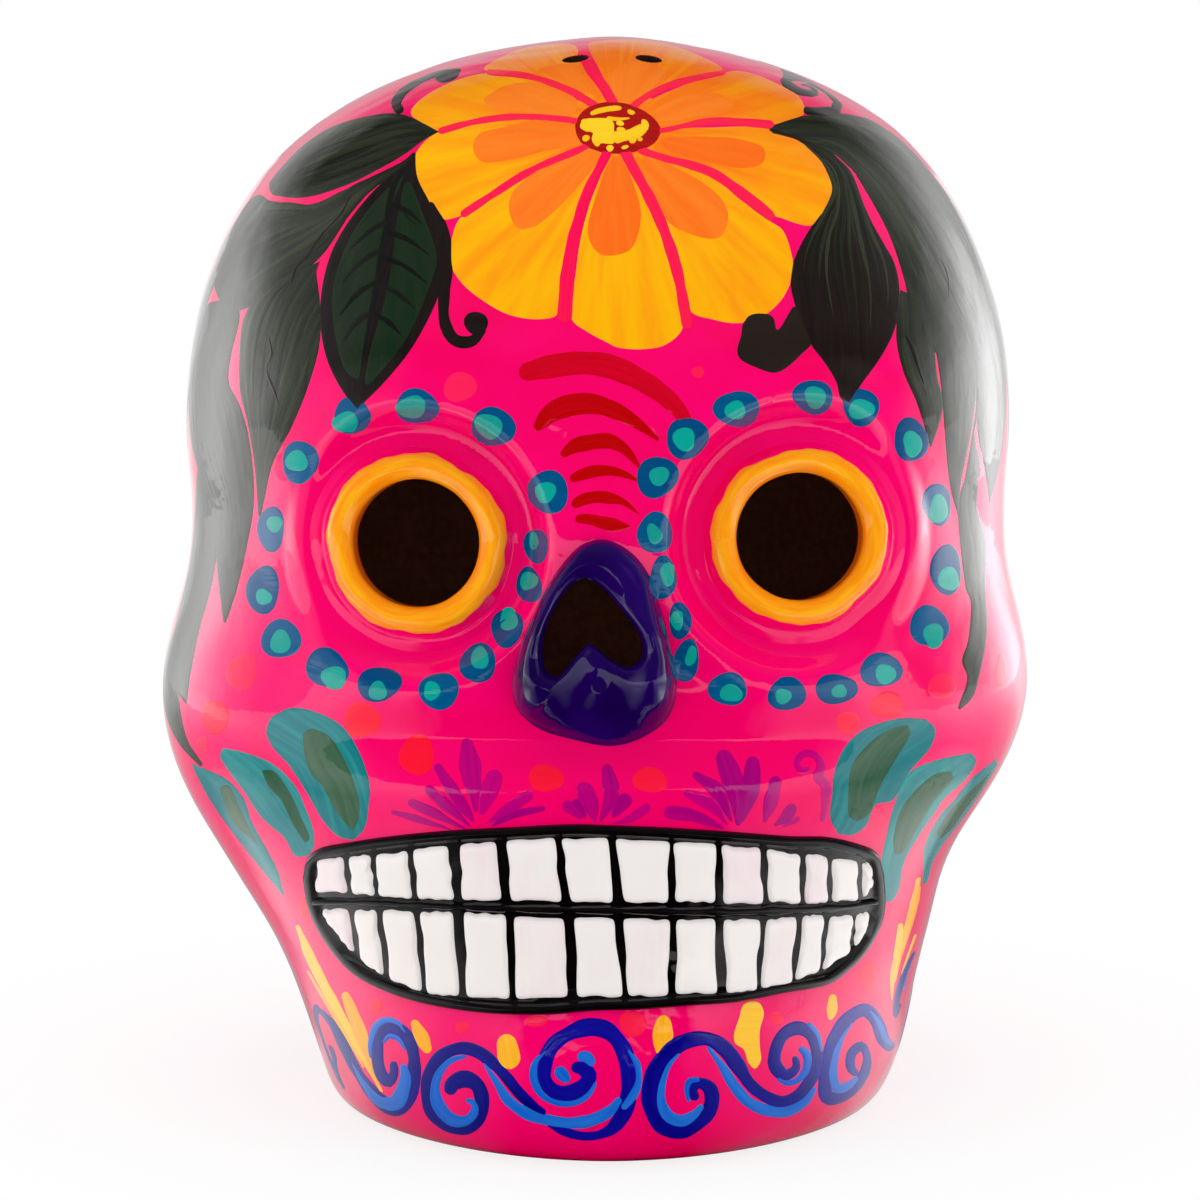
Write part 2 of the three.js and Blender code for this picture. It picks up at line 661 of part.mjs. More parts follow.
// The two round holes in the crown.
function ventCutters() {
  return [-1, 1].map((side) => {
    const length = 2 * (WALL + OVERRUN);
    const hole = new THREE.CylinderGeometry(VENT_RADIUS, VENT_RADIUS, length, RING_STEPS / 2);
    hole.rotateX(Math.PI / 2);
    const x = VENT_SHIFT + (side * VENT_SPACING) / 2;
    hole.translate(x, -ventForwardShare * SKULL_DEPTH, SKULL_HEIGHT);
    return solidOf(hole);
  });
}

// Everything on one side of the seam: side -1 is the face, 1 the back.
function seamBlock(side) {
  const deep = 2 * SKULL_DEPTH;
  const block = new THREE.BoxGeometry(2 * SKULL_WIDTH, deep, 3 * SKULL_HEIGHT);
  block.translate(0, seamShare * SKULL_DEPTH + (side * deep) / 2, 0);
  return solidOf(block);
}

function shellSolid() {
  const outer = headSolid(skullRows, 0, 1);
  const cavity = headSolid(cavityRows, WALL, cavityMeshShare);
  let shell = outer.subtract(cavity);
  for (const eye of eyes) shell = cutEye(shell, eye);
  for (const vent of ventCutters()) shell = shell.subtract(vent);
  return shell.subtract(noseSeat()).subtract(noseHoleCutter()).subtract(mouthPocket());
}

const clay = new THREE.MeshStandardMaterial({ color: 0xe8107a, roughness: 0.12 });
const orange = new THREE.MeshStandardMaterial({ color: 0xff9a10, roughness: 0.15 });
const indigo = new THREE.MeshStandardMaterial({ color: 0x22107a, roughness: 0.1 });
const black = new THREE.MeshStandardMaterial({ color: 0x0a0a0a, roughness: 0.15 });
const white = new THREE.MeshStandardMaterial({ color: 0xf2f0ee, roughness: 0.15 });

const skull = new THREE.Group();

function add(name, geometry, material) {
  const mesh = new THREE.Mesh(geometry, material);
  mesh.name = name;
  skull.add(mesh);
  return mesh;
}

const shell = shellSolid();
add("face_shell", geometryOf(shell.intersect(seamBlock(-1))), clay);
add("back_shell", geometryOf(shell.intersect(seamBlock(1))), clay);

for (const eye of eyes) {
  const name = eye.side < 0 ? "left_eye_collar" : "right_eye_collar";
  const collar = add(name, collarGeometry(), orange);
  collar.position.copy(eye.floor).addScaledVector(eye.axis, -SEAT_SINK);
  collar.quaternion.setFromUnitVectors(new THREE.Vector3(0, 1, 0), eye.axis);
}

add("nose_surround", geometryOf(noseSolid()), indigo);
add("mouth_line", geometryOf(mouthLineSolid()), black);
add("upper_teeth", geometryOf(toothRow(upperFrom, upperTo)), white);
add("lower_teeth", geometryOf(toothRow(lowerFrom, lowerTo)), white);

export default skull;
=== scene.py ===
"""A hollow painted clay skull with a flower on its brow, in metres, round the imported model.

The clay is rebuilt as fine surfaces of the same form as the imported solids. Every painted mark
is a thin raised stroke of its own, laid on the clay and clear-varnished with it.
"""

import math
import random

import bmesh
import bpy
import numpy as np
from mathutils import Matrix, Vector
from mathutils.bvhtree import BVHTree


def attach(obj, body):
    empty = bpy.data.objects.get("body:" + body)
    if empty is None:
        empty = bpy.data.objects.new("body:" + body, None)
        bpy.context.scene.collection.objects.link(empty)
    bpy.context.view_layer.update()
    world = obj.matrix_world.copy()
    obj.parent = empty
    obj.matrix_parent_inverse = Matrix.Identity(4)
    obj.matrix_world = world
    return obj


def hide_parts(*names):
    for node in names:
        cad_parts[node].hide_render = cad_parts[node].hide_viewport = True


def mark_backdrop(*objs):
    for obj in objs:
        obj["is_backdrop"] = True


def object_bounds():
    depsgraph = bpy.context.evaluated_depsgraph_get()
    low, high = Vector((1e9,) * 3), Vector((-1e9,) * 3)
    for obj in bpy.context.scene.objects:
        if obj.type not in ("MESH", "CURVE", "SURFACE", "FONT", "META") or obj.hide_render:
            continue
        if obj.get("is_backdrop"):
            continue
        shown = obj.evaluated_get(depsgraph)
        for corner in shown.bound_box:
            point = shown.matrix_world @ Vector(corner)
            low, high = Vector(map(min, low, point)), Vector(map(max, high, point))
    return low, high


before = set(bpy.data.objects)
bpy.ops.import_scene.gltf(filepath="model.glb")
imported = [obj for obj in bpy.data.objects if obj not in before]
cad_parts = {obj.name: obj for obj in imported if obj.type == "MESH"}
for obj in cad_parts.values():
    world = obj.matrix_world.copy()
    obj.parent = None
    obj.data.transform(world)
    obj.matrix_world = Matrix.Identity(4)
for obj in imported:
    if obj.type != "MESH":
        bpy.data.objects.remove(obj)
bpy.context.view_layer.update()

rng = random.Random(7)
MM = 0.001

# The clay's driving sizes, in millimetres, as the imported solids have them
SKULL_HEIGHT = 149
SKULL_WIDTH = 123
SKULL_DEPTH = 141
WALL = 5.5
OVERRUN = 4

EYE_BORE_RADIUS = 8.9
COLLAR_BAND = 6.1
SEAT_SINK = 0.8
SOCKET_DEPTH = 3.7
SOCKET_MARGIN = 0.8
SOCKET_SLOPE = 3.9
ORBIT_RISE = 0.45
ORBIT_SPREAD = 3.2
EYE_SHIFT = 1.4
EYE_TURN = math.radians(9)
EYE_TILT = math.radians(8)
EYE_SPREAD_SHARE = 0.2077
EYE_HEIGHT_SHARE = 0.592

NOSE_HEIGHT = 28
NOSE_RISE = 6.2
BRIDGE_RISE = 2.2
BRIDGE_SPREAD = 7
BRIDGE_TOP_SHARE = 0.69
NOSE_FOOT_SHARE = 0.404

LINE_RISE = 0.9
TOOTH_RISE = 0.9

VENT_RADIUS = 1.9
VENT_SPACING = 10.4
VENT_SHIFT = 2
VENT_FORWARD_SHARE = 0.068

# The form from the foot up: shares of the height, of half the width, and of half the depth for
# the reach to the front, to the back and the place of the widest point; then the face's squareness
FORM_SHARES = np.array([
    (0.0, 0.583, 0.79, 0.42, -0.23, 1.88),
    (0.0, 0.61, 0.842, 0.47, -0.23, 1.88),
    (0.0, 0.624, 0.875, 0.49, -0.23, 1.88),
    (0.01, 0.65, 0.93, 0.525, -0.23, 1.9),
    (0.04, 0.675, 0.972, 0.58, -0.23, 2.05),
    (0.09, 0.706, 0.984, 0.645, -0.23, 2.2),
    (0.145, 0.738, 0.965, 0.72, -0.23, 2.4),
    (0.2, 0.791, 0.955, 0.795, -0.24, 2.4),
    (0.26, 0.857, 0.952, 0.86, -0.25, 2.4),
    (0.32, 0.953, 0.948, 0.92, -0.25, 2.5),
    (0.38, 1.003, 0.938, 0.965, -0.23, 2.7),
    (0.44, 1.005, 0.93, 0.995, -0.18, 2.8),
    (0.51, 0.948, 0.925, 1.013, -0.08, 2.8),
    (0.58, 0.946, 0.92, 1.021, 0.0, 2.75),
])

# How far the hand-pressed clay leans to one side at each height, and how full its crown is
LEAN_HEIGHTS = [0, 5, 9, 13, 16, 20, 24, 28, 31, 35, 39, 43, 46, 50, 54, 60, 72, 118, 132, 139, 149]
LEANS = [
    1.3, 1.6, 1.6, 1.4, 1.15, 0.8, 0.4, -0.1, -0.8, -1.5, -1.8, -1.85, -1.5, -1.15, -0.85, -0.5, 0, 0,
    0.25, 0.9, 1.0,
]
FULL_HEIGHTS = [0, 118, 128, 133, 138, 143, 148]
FULL_SHARES = [1, 1, 1.01, 1.02, 1.026, 1.012, 1]
CROWN_LIFT = 0.9
CROWN_SPREAD = 9
CROWN_NARROWING = 7
CROWN_SHARES = (0.8, 0.95)
BROW_RISE = 0.7
BROW_RADIUS = 27.5
BROW_SPREAD = 4.5
BROW_SHARES = (0.25, 0.85)

# How far each eye sits to the side of its place on the plain form, and above it
EYE_OFFSETS = {-1: (-1.2, -0.8), 1: (1.1, 0.0)}

# The face's low swellings and hollows: their height, rise and spread up and down
FACE_SWELLS = [(66.5, 0.4, 3.2), (60.5, -0.6, 3.0), (53.5, 0.8, 4.2)]
FACE_SWELL_REACH = 24
FACE_SWELL_FADE = 22
FACE_SWELL_SHARES = (0.2, 0.5)
SKIN_WOBBLE = 0.14
SKIN_WOBBLE_HEIGHTS = (1, 12)

DOME_FOOT_SHARE = 0.65
DOME_WIDTH_SHARE = 0.968
DOME_FRONT_SHARE = 0.91
DOME_BACK_SHARE = 1.023
DOME_MIDDLE_SHARE = 0.07
DOME_POWER = 2.2
CROWN_POWER = 2.1
DOME_STEPS = 8

HALF_WIDTH = SKULL_WIDTH / 2
HALF_DEPTH = SKULL_DEPTH / 2
COLLAR_RADIUS = EYE_BORE_RADIUS + COLLAR_BAND
FLOOR_RADIUS = COLLAR_RADIUS + SOCKET_MARGIN
RIM_RADIUS = FLOOR_RADIUS + SOCKET_SLOPE

# How many points go round each side, the face and the back, and up to the eyes, past them and on
SIDE_POINTS = 22
FACE_POINTS = 190
BACK_POINTS = 76
FOOT_ROWS = 62
EYE_ROWS = 116
DOME_ROWS = 52
EYE_ROWS_REACH = 1.6
FACE_ANGLE = math.radians(50)

# The photograph's camera, in the photograph's own 1200 pixel frame
PHOTO_SIZE = 1200
FOCAL_PIXELS = 8280
PHOTO_CENTRE = (598, 589.8)
CAMERA_DISTANCE = 1200
CAMERA_AIM_HEIGHT = 70
CAMERA_ELEVATION = math.radians(10)
SENSOR_WIDTH = 36
camera_back = np.array([0, -math.cos(CAMERA_ELEVATION), math.sin(CAMERA_ELEVATION)])
camera_up = np.array([0, math.sin(CAMERA_ELEVATION), math.cos(CAMERA_ELEVATION)])
camera_place = np.array([0, 0, CAMERA_AIM_HEIGHT]) + CAMERA_DISTANCE * camera_back


# The form of the clay
def smoothstep(value, low, high):
    """From 0 at low to 1 at high, level at both ends."""
    t = np.clip((value - low) / (high - low), 0, 1)
    return t * t * (3 - 2 * t)


def mix(a, b, t):
    """From a, where t is 0, to b, where it is 1."""
    return a + (b - a) * t


def unit(vectors):
    """The same vectors, each with a length of 1."""
    return vectors / np.maximum(np.linalg.norm(vectors, axis=-1, keepdims=True), 1e-9)


def full_turn(count):
    """Even bearings all the way round."""
    return np.linspace(0, 2 * math.pi, count, endpoint=False)


def with_close_ends(ends, first, count):
    """Even steps from 0 to 1 between closer ones at both ends."""
    ends = np.array(ends)
    return np.concatenate([ends, np.linspace(first, 1 - first, count), 1 - ends[::-1]])


def control_rows(inset):
    """Height, half width, front, back, middle and squareness, for the skull or its cavity."""
    rows = [
        (
            z * SKULL_HEIGHT, w * HALF_WIDTH - inset, front * HALF_DEPTH - inset,
            back * HALF_DEPTH - inset, middle * HALF_DEPTH, power,
        )
        for z, w, front, back, middle, power in FORM_SHARES
    ]
    first = (-OVERRUN if inset > 0 else 0, *rows[0][1:])
    rows = [first, first, first, *rows]
    dome_foot = DOME_FOOT_SHARE * SKULL_HEIGHT
    middle = DOME_MIDDLE_SHARE * HALF_DEPTH
    for k in range(DOME_STEPS + 2):
        angle = math.pi / 2 * k / DOME_STEPS
        out = math.copysign(abs(math.cos(angle)) ** (2 / DOME_POWER), math.cos(angle))
        up = math.sin(angle) ** (2 / DOME_POWER)
        rows.append((
            dome_foot + (SKULL_HEIGHT - inset - dome_foot) * up,
            (DOME_WIDTH_SHARE * HALF_WIDTH - inset) * out,
            (DOME_FRONT_SHARE * HALF_DEPTH - inset + middle) * out - middle,
            (DOME_BACK_SHARE * HALF_DEPTH - inset - middle) * out + middle,
            middle,
            mix(FORM_SHARES[-1][5], CROWN_POWER, min(1, k / DOME_STEPS)),
        ))
    return np.array(rows)


SKULL_ROWS = control_rows(0)
CAVITY_ROWS = control_rows(WALL)
CROWN_U = len(SKULL_ROWS) - 3


def spline_rows(rows, u):
    """A uniform cubic B-spline through the rows, as one array for each column."""
    u = np.asarray(u, float)
    start = np.clip(np.floor(u).astype(int), 0, len(rows) - 4)
    f = u - start
    weights = (
        (1 - f) ** 3 / 6,
        (3 * f**3 - 6 * f**2 + 4) / 6,
        (-3 * f**3 + 3 * f**2 + 3 * f + 1) / 6,
        f**3 / 6,
    )
    value = sum(w[..., None] * rows[start + k] for k, w in enumerate(weights))
    return np.moveaxis(value, -1, 0)


def loft_points(rows, phi, u):
    """Points of the plain head: phi is the bearing from the face, u runs up from the foot."""
    z, w, front, back, middle, face_power = spline_rows(rows, u)
    sine, cosine = np.sin(phi), np.cos(phi)
    power = np.where(cosine > 0, face_power, CROWN_POWER)
    reach = np.where(cosine > 0, front + middle, back - middle)
    total = np.abs(sine * reach) ** power + np.abs(cosine * w) ** power
    radius = np.where(total > 0, w * reach / np.maximum(total, 1e-12) ** (1 / power), 0)
    return np.stack([radius * sine, middle - radius * cosine, z + 0 * phi], -1)


def height_place(z):
    """How far up the loft a height lies."""
    low = np.zeros(np.shape(z))
    high = np.full(np.shape(z), float(CROWN_U))
    for _ in range(40):
        middle = (low + high) / 2
        below = spline_rows(SKULL_ROWS, middle)[0] < z
        low = np.where(below, middle, low)
        high = np.where(below, high, middle)
    return low


def face_place(x, z):
    """The bearing and place up the loft where the plain face has a given x and z."""
    u = height_place(z)
    _, w, front, _, middle, power = spline_rows(SKULL_ROWS, u)
    rest = (1 - np.minimum(1, np.abs(x) / w) ** power) ** (1 / power)
    return np.arctan2(x, (front + middle) * rest), u


def bridge_points(rows, phi, u):
    """The head with the bridge of the nose, before the sockets are pressed in."""
    points = loft_points(rows, phi, u)
    foot, top = NOSE_FOOT_SHARE * SKULL_HEIGHT, BRIDGE_TOP_SHARE * SKULL_HEIGHT
    half = NOSE_HEIGHT / 2
    across = np.exp(-((points[..., 0] / BRIDGE_SPREAD) ** 2))
    z = points[..., 2]
    rise = smoothstep(z, foot, foot + half) * (1 - smoothstep(z, top - half, top))
    points[..., 1] -= np.where(np.cos(phi) > 0, BRIDGE_RISE * across * rise, 0)
    return points


class Eye:
    """An eye's middle on the socket floor, and the axis that it looks along."""

    def __init__(self, side):
        self.side = side
        aside, above = EYE_OFFSETS[side]
        x = EYE_SHIFT + side * EYE_SPREAD_SHARE * SKULL_WIDTH + aside
        z = EYE_HEIGHT_SHARE * SKULL_HEIGHT + above
        self.axis = np.array([
            side * math.sin(EYE_TURN) * math.cos(EYE_TILT),
            -math.cos(EYE_TURN) * math.cos(EYE_TILT),
            math.sin(EYE_TILT),
        ])
        phi, u = face_place(x, z)
        self.floor = loft_points(SKULL_ROWS, phi, u) - SOCKET_DEPTH * self.axis
        self.right = np.cross(self.axis, (0, 0, 1))
        self.right /= np.linalg.norm(self.right)
        self.up = np.cross(self.right, self.axis)


EYES = [Eye(-1), Eye(1)]


def skull_points(rows, inset, phi, u):
    """The finished skull, or its cavity."""
    points = bridge_points(rows, phi, u)
    for eye in EYES:
        local = points - eye.floor
        height = local @ eye.axis
        radius = np.linalg.norm(local - height[..., None] * eye.axis, axis=-1)
        out = smoothstep(radius, FLOOR_RADIUS, RIM_RADIUS)
        ring = np.exp(-(((radius - RIM_RADIUS) / ORBIT_SPREAD) ** 2))
        above = smoothstep((local @ eye.up) / np.maximum(radius, 1), *BROW_SHARES)
        brow = np.exp(-(((radius - BROW_RADIUS) / BROW_SPREAD) ** 2)) * above
        pressed = mix(-inset, height, out) + ORBIT_RISE * ring + BROW_RISE * brow
        near = (radius < 2 * RIM_RADIUS) & (points[..., 1] < 0) & (np.cos(phi) > 0)
        points = points + np.where(near, pressed - height, 0)[..., None] * eye.axis
    return settled(points)


def settled(points):
    """The unevenness of the pressed clay: it leans, and swells round the crown's vents."""
    x, y, z = points[..., 0], points[..., 1], points[..., 2]
    leaning = soft_curve(z, LEAN_HEIGHTS, LEANS)
    full = soft_curve(z, FULL_HEIGHTS, FULL_SHARES)
    across = ((x - VENT_SHIFT) / CROWN_SPREAD) ** 2
    swell = np.exp(-across - (y / SKULL_HEIGHT * CROWN_NARROWING) ** 2)
    up = CROWN_LIFT * swell * smoothstep(z, *(SKULL_HEIGHT * share for share in CROWN_SHARES))
    out = 0
    for height, rise, spread in FACE_SWELLS:
        out = out + rise * np.exp(-(((z - height) / spread) ** 2))
    fade = 1 - smoothstep(np.abs(x), FACE_SWELL_REACH, FACE_SWELL_REACH + FACE_SWELL_FADE)
    out = out * fade * smoothstep(-y, *(HALF_DEPTH * share for share in FACE_SWELL_SHARES))
    return np.stack([x * full + leaning, y - out, z + up], -1)


def soft_curve(value, places, heights):
    """A curve through heights, rounded over a few millimetres."""
    steps = (-3, -1.5, 0, 1.5, 3)
    return sum(np.interp(value + step, places, heights) for step in steps) / len(steps)


def hand_wobble(points, size):
    """A slow unevenness of hand-pressed clay along x, y and z, up to about size."""
    x, y, z = points[..., 0], points[..., 1], points[..., 2]
    wave = np.sin(x / 7.1 + 1.3 * np.sin(z / 11.3) + 0.7)
    wave = wave + np.sin(z / 6.3 + 1.1 * np.sin(x / 9.7) + y / 17)
    wave = wave + 0.6 * np.sin((x + z) / 4.1 + y / 9.3)
    return size * wave / 2.6


# Meshes
def mesh_object(name, points, faces):
    """A smooth mesh from points in millimetres."""
    mesh = bpy.data.meshes.new(name)
    mesh.from_pydata((np.asarray(points) * MM).tolist(), [], faces)
    mesh.shade_smooth()
    made = bpy.data.objects.new(name, mesh)
    bpy.context.scene.collection.objects.link(made)
    return made


def read_rows(items, key, kind=float):
    """What each item of a mesh holds under a key, as rows of three."""
    values = np.zeros(len(items) * 3, kind)
    items.foreach_get(key, values)
    return values.reshape(-1, 3)


def set_values(made, name, kind, values):
    """A named number or vector for each point of an object's mesh."""
    attribute = made.data.attributes.new(name, kind, "POINT")
    key = "vector" if kind == "FLOAT_VECTOR" else "value"
    attribute.data.foreach_set(key, values.astype(np.float32).ravel())


def grid_faces(rows, columns, first=0, closed=False):
    """Faces over a grid of points, row by row, closed round its columns or not."""
    faces = []
    for r in range(rows - 1):
        for c in range(columns if closed else columns - 1):
            low = first + r * columns
            high = low + columns
            d = (c + 1) % columns
            faces.append((low + c, low + d, high + d, high + c))
    return faces


def even_steps(low, high, count):
    """Even steps from low up to high, which is left out."""
    return [mix(low, high, i / count) for i in range(count)]


def ringed_solid(name, rings, first_middle, last_middle):
    """A closed mesh over rings of points, with a middle point at each end."""
    count = rings.shape[1]
    points = np.concatenate([rings.reshape(-1, 3), [first_middle, last_middle]])
    faces = grid_faces(len(rings), count, closed=True)
    bottom = len(rings) * count
    last = bottom - count
    for c in range(count):
        d = (c + 1) % count
        faces.append((bottom, d, c))
        faces.append((bottom + 1, last + c, last + d))
    return mesh_object(name, points, faces)


def head_solid(name, rows, inset, scale):
    """The skull or its cavity as a closed mesh; scale says how fine it is."""
    side = math.pi / 2
    angles = [
        *even_steps(-side, -FACE_ANGLE, int(SIDE_POINTS * scale)),
        *even_steps(-FACE_ANGLE, FACE_ANGLE, int(FACE_POINTS * scale)),
        *even_steps(FACE_ANGLE, side, int(SIDE_POINTS * scale)),
        *even_steps(side, 3 * side, int(BACK_POINTS * scale)),
    ]
    reach = EYE_ROWS_REACH * RIM_RADIUS
    eyes_foot = float(height_place(EYES[0].floor[2] - reach))
    eyes_top = float(height_place(EYES[0].floor[2] + reach))
    levels = [
        *even_steps(0, eyes_foot, int(FOOT_ROWS * scale)),
        *even_steps(eyes_foot, eyes_top, int(EYE_ROWS * scale)),
        *even_steps(eyes_top, CROWN_U, int(DOME_ROWS * scale)),
    ]
    phi, u = np.meshgrid(np.array(angles), np.array(levels))
    rings = skull_points(rows, inset, phi, u)
    if inset == 0:
        lifted = smoothstep(rings[..., 2], *SKIN_WOBBLE_HEIGHTS)
        for eye in EYES:
            radius = np.linalg.norm(np.cross(rings - eye.floor, eye.axis), axis=-1)
            lifted = lifted * smoothstep(radius, FLOOR_RADIUS, RIM_RADIUS)
        outwards = unit(rings * np.array([1, 1, 0]))
        rings = rings + outwards * (hand_wobble(rings, SKIN_WOBBLE) * lifted)[..., None]
    top = skull_points(rows, inset, np.array([0.0]), np.array([float(CROWN_U)]))[0]
    return ringed_solid(name, rings, (0, 0, rings[0, 0, 2]), top)


TUBE_SIDES = 96


def tube_cutter(name, start, end, radius):
    """A plain cylinder between two points, for cutting a hole."""
    start, end = np.array(start, float), np.array(end, float)
    axis = (end - start) / np.linalg.norm(end - start)
    side = np.cross(axis, (0, 0, 1) if abs(axis[2]) < 0.9 else (1, 0, 0))
    side /= np.linalg.norm(side)
    turn = full_turn(TUBE_SIDES)[:, None]
    ring = radius * (np.cos(turn) * side + np.sin(turn) * np.cross(axis, side))
    return ringed_solid(name, np.array([start + ring, end + ring]), start, end)


def cut(target, cutter):
    """Cuts one closed mesh out of another and deletes it."""
    tool = target.modifiers.new("cut", "BOOLEAN")
    tool.operation = "DIFFERENCE"
    tool.solver = "MANIFOLD"
    tool.object = cutter
    bpy.context.view_layer.update()
    depsgraph = bpy.context.evaluated_depsgraph_get()
    result = bpy.data.meshes.new_from_object(target.evaluated_get(depsgraph))
    target.modifiers.clear()
    old = target.data
    target.data = result
    bpy.data.meshes.remove(old)
    bpy.data.objects.remove(cutter)


class Canvas:
    """Finished clay as something to paint on: rays find it, and marks are laid on it."""

    def __init__(self, *carriers):
        points, normals, triangles = [], [], []
        start = 0
        for carrier in carriers:
            mesh = carrier.data
            mesh.calc_loop_triangles()
            points.append(read_rows(mesh.vertices, "co") / MM)
            normals.append(read_rows(mesh.vertex_normals, "vector"))
            triangles.append(read_rows(mesh.loop_triangles, "vertices", np.int32) + start)
            start += len(mesh.vertices)
        self.points = np.concatenate(points)
        self.normals = np.concatenate(normals)
        self.triangles = np.concatenate(triangles)
        self.tree = BVHTree.FromPolygons(
            self.points.tolist(), self.triangles.tolist(), all_triangles=True
        )

    def cast(self, origins, directions):
        """Where rays meet the clay, as smooth places and normals. A ray that passes by it
        takes the nearest place."""
        hits = np.zeros((len(origins), 3))
        found = np.zeros(len(origins), np.int64)
        for i, (origin, direction) in enumerate(zip(origins.tolist(), directions.tolist())):
            place, _, face, _ = self.tree.ray_cast(origin, direction)
            if place is None:
                away = Vector(origin)
                toward = Vector(direction)
                middle = Vector((0, 0, SKULL_HEIGHT / 2))
                nearest = away + toward * (middle - away).dot(toward) / toward.length_squared
                place, _, face, _ = self.tree.find_nearest(nearest)
            hits[i] = place
            found[i] = face
        return self.smoothed(hits, found)

    def nearest_normals(self, mesh):
        """The clay's own normals under each point of a thin mesh."""
        places = read_rows(mesh.vertices, "co") / MM
        found = np.array([self.tree.find_nearest(place)[2] for place in places.tolist()])
        return self.smoothed(places, found)[1]

    def smoothed(self, hits, faces):
        """Places on the curved surface that the flat triangles stand for, and its normals."""
        corners = self.triangles[faces]
        a, b, c = (self.points[corners[:, k]] for k in range(3))
        normal = np.cross(b - a, c - a)
        area = np.maximum((normal * normal).sum(1), 1e-18)
        wa = (np.cross(c - b, hits - b) * normal).sum(1) / area
        wb = (np.cross(a - c, hits - c) * normal).sum(1) / area
        places, turned = np.zeros_like(hits), np.zeros_like(hits)
        for k, weight in enumerate((wa, wb, 1 - wa - wb)):
            n = self.normals[corners[:, k]]
            p = self.points[corners[:, k]]
            off = ((hits - p) * n).sum(1)[:, None] * n
            places += weight[:, None] * (hits - off)
            turned += weight[:, None] * n
        return places, unit(turned)


def photo_rays(flat):
    """Rays from the photograph's camera through places in its own pixels."""
    across = (flat[:, 0] - PHOTO_CENTRE[0]) / FOCAL_PIXELS
    down = (flat[:, 1] - PHOTO_CENTRE[1]) / FOCAL_PIXELS
    directions = unit(
        -camera_back + across[:, None] * np.array([1, 0, 0]) - down[:, None] * camera_up
    )
    return camera_place + (CAMERA_DISTANCE - 2 * SKULL_HEIGHT) * directions, directions


# How wide a pixel of the picture is on the clay, and how far out the jaw's border is
PIXEL = 0.137
ROUND_REACH = 47


def level_rays(bearing, height):
    """Level rays to the head's upright axis, from bearings and at heights."""
    out = np.stack([np.sin(bearing), -np.cos(bearing), 0 * bearing], 1)
    origins = 2 * SKULL_HEIGHT * out
    origins[:, 2] = height
    return origins, -out


def round_rays(flat):
    """Level rays for places counted in the picture's pixels, from the middle of the face round
    the jaw and from the foot up."""
    return level_rays(flat[:, 0] * PIXEL / ROUND_REACH, flat[:, 1] * PIXEL)


# Past this share of the way out to the outline, a mark is carried round the side instead
EDGE_SHARE = 0.93
EDGE_STRETCH = 2.6
OUTLINE_ROWS = np.arange(40, 1156, 6.0)
OUTLINE_HALVINGS = 11
edges = {}


def find_edges():
    """The clay's outline in the picture: for each row of pixels its left and right edge."""
    middle = np.full(len(OUTLINE_ROWS), PHOTO_CENTRE[0])
    for side in (-1, 1):
        seen, missed = middle.copy(), middle + side * PHOTO_SIZE / 2
        for _ in range(OUTLINE_HALVINGS):
            between = (seen + missed) / 2
            origins, directions = photo_rays(np.stack([between, OUTLINE_ROWS], 1))
            met = np.array([
                clay.tree.ray_cast(origin, direction)[0] is not None
                for origin, direction in zip(origins.tolist(), directions.tolist())
            ])
            seen, missed = np.where(met, between, seen), np.where(met, missed, between)
        edges[side] = seen


def wrapped_rays(flat):
    """Rays through places in the picture. Close to the outline and past it they go round the
    side instead, so that a mark there isn't drawn out."""
    if not edges:
        find_edges()
    left, right = (np.interp(flat[:, 1], OUTLINE_ROWS, edges[side]) for side in (-1, 1))
    middle, half = (left + right) / 2, (right - left) / 2
    away = flat[:, 0] - middle
    inner = np.clip(away, -EDGE_SHARE * half, EDGE_SHARE * half)
    origins, directions = photo_rays(np.stack([middle + inner, flat[:, 1]], 1))
    over = np.nonzero(np.abs(away) > EDGE_SHARE * half)[0]
    if len(over):
        places, _ = clay.cast(origins[over], directions[over])
        reach = np.linalg.norm(places[:, :2], axis=1)
        bearing = np.arctan2(places[:, 0], -places[:, 1])
        bearing = bearing + (away - inner)[over] * PIXEL * EDGE_STRETCH / reach
        origins[over], directions[over] = level_rays(bearing, places[:, 2])
    return origins, directions


CURVE_STEPS = 24


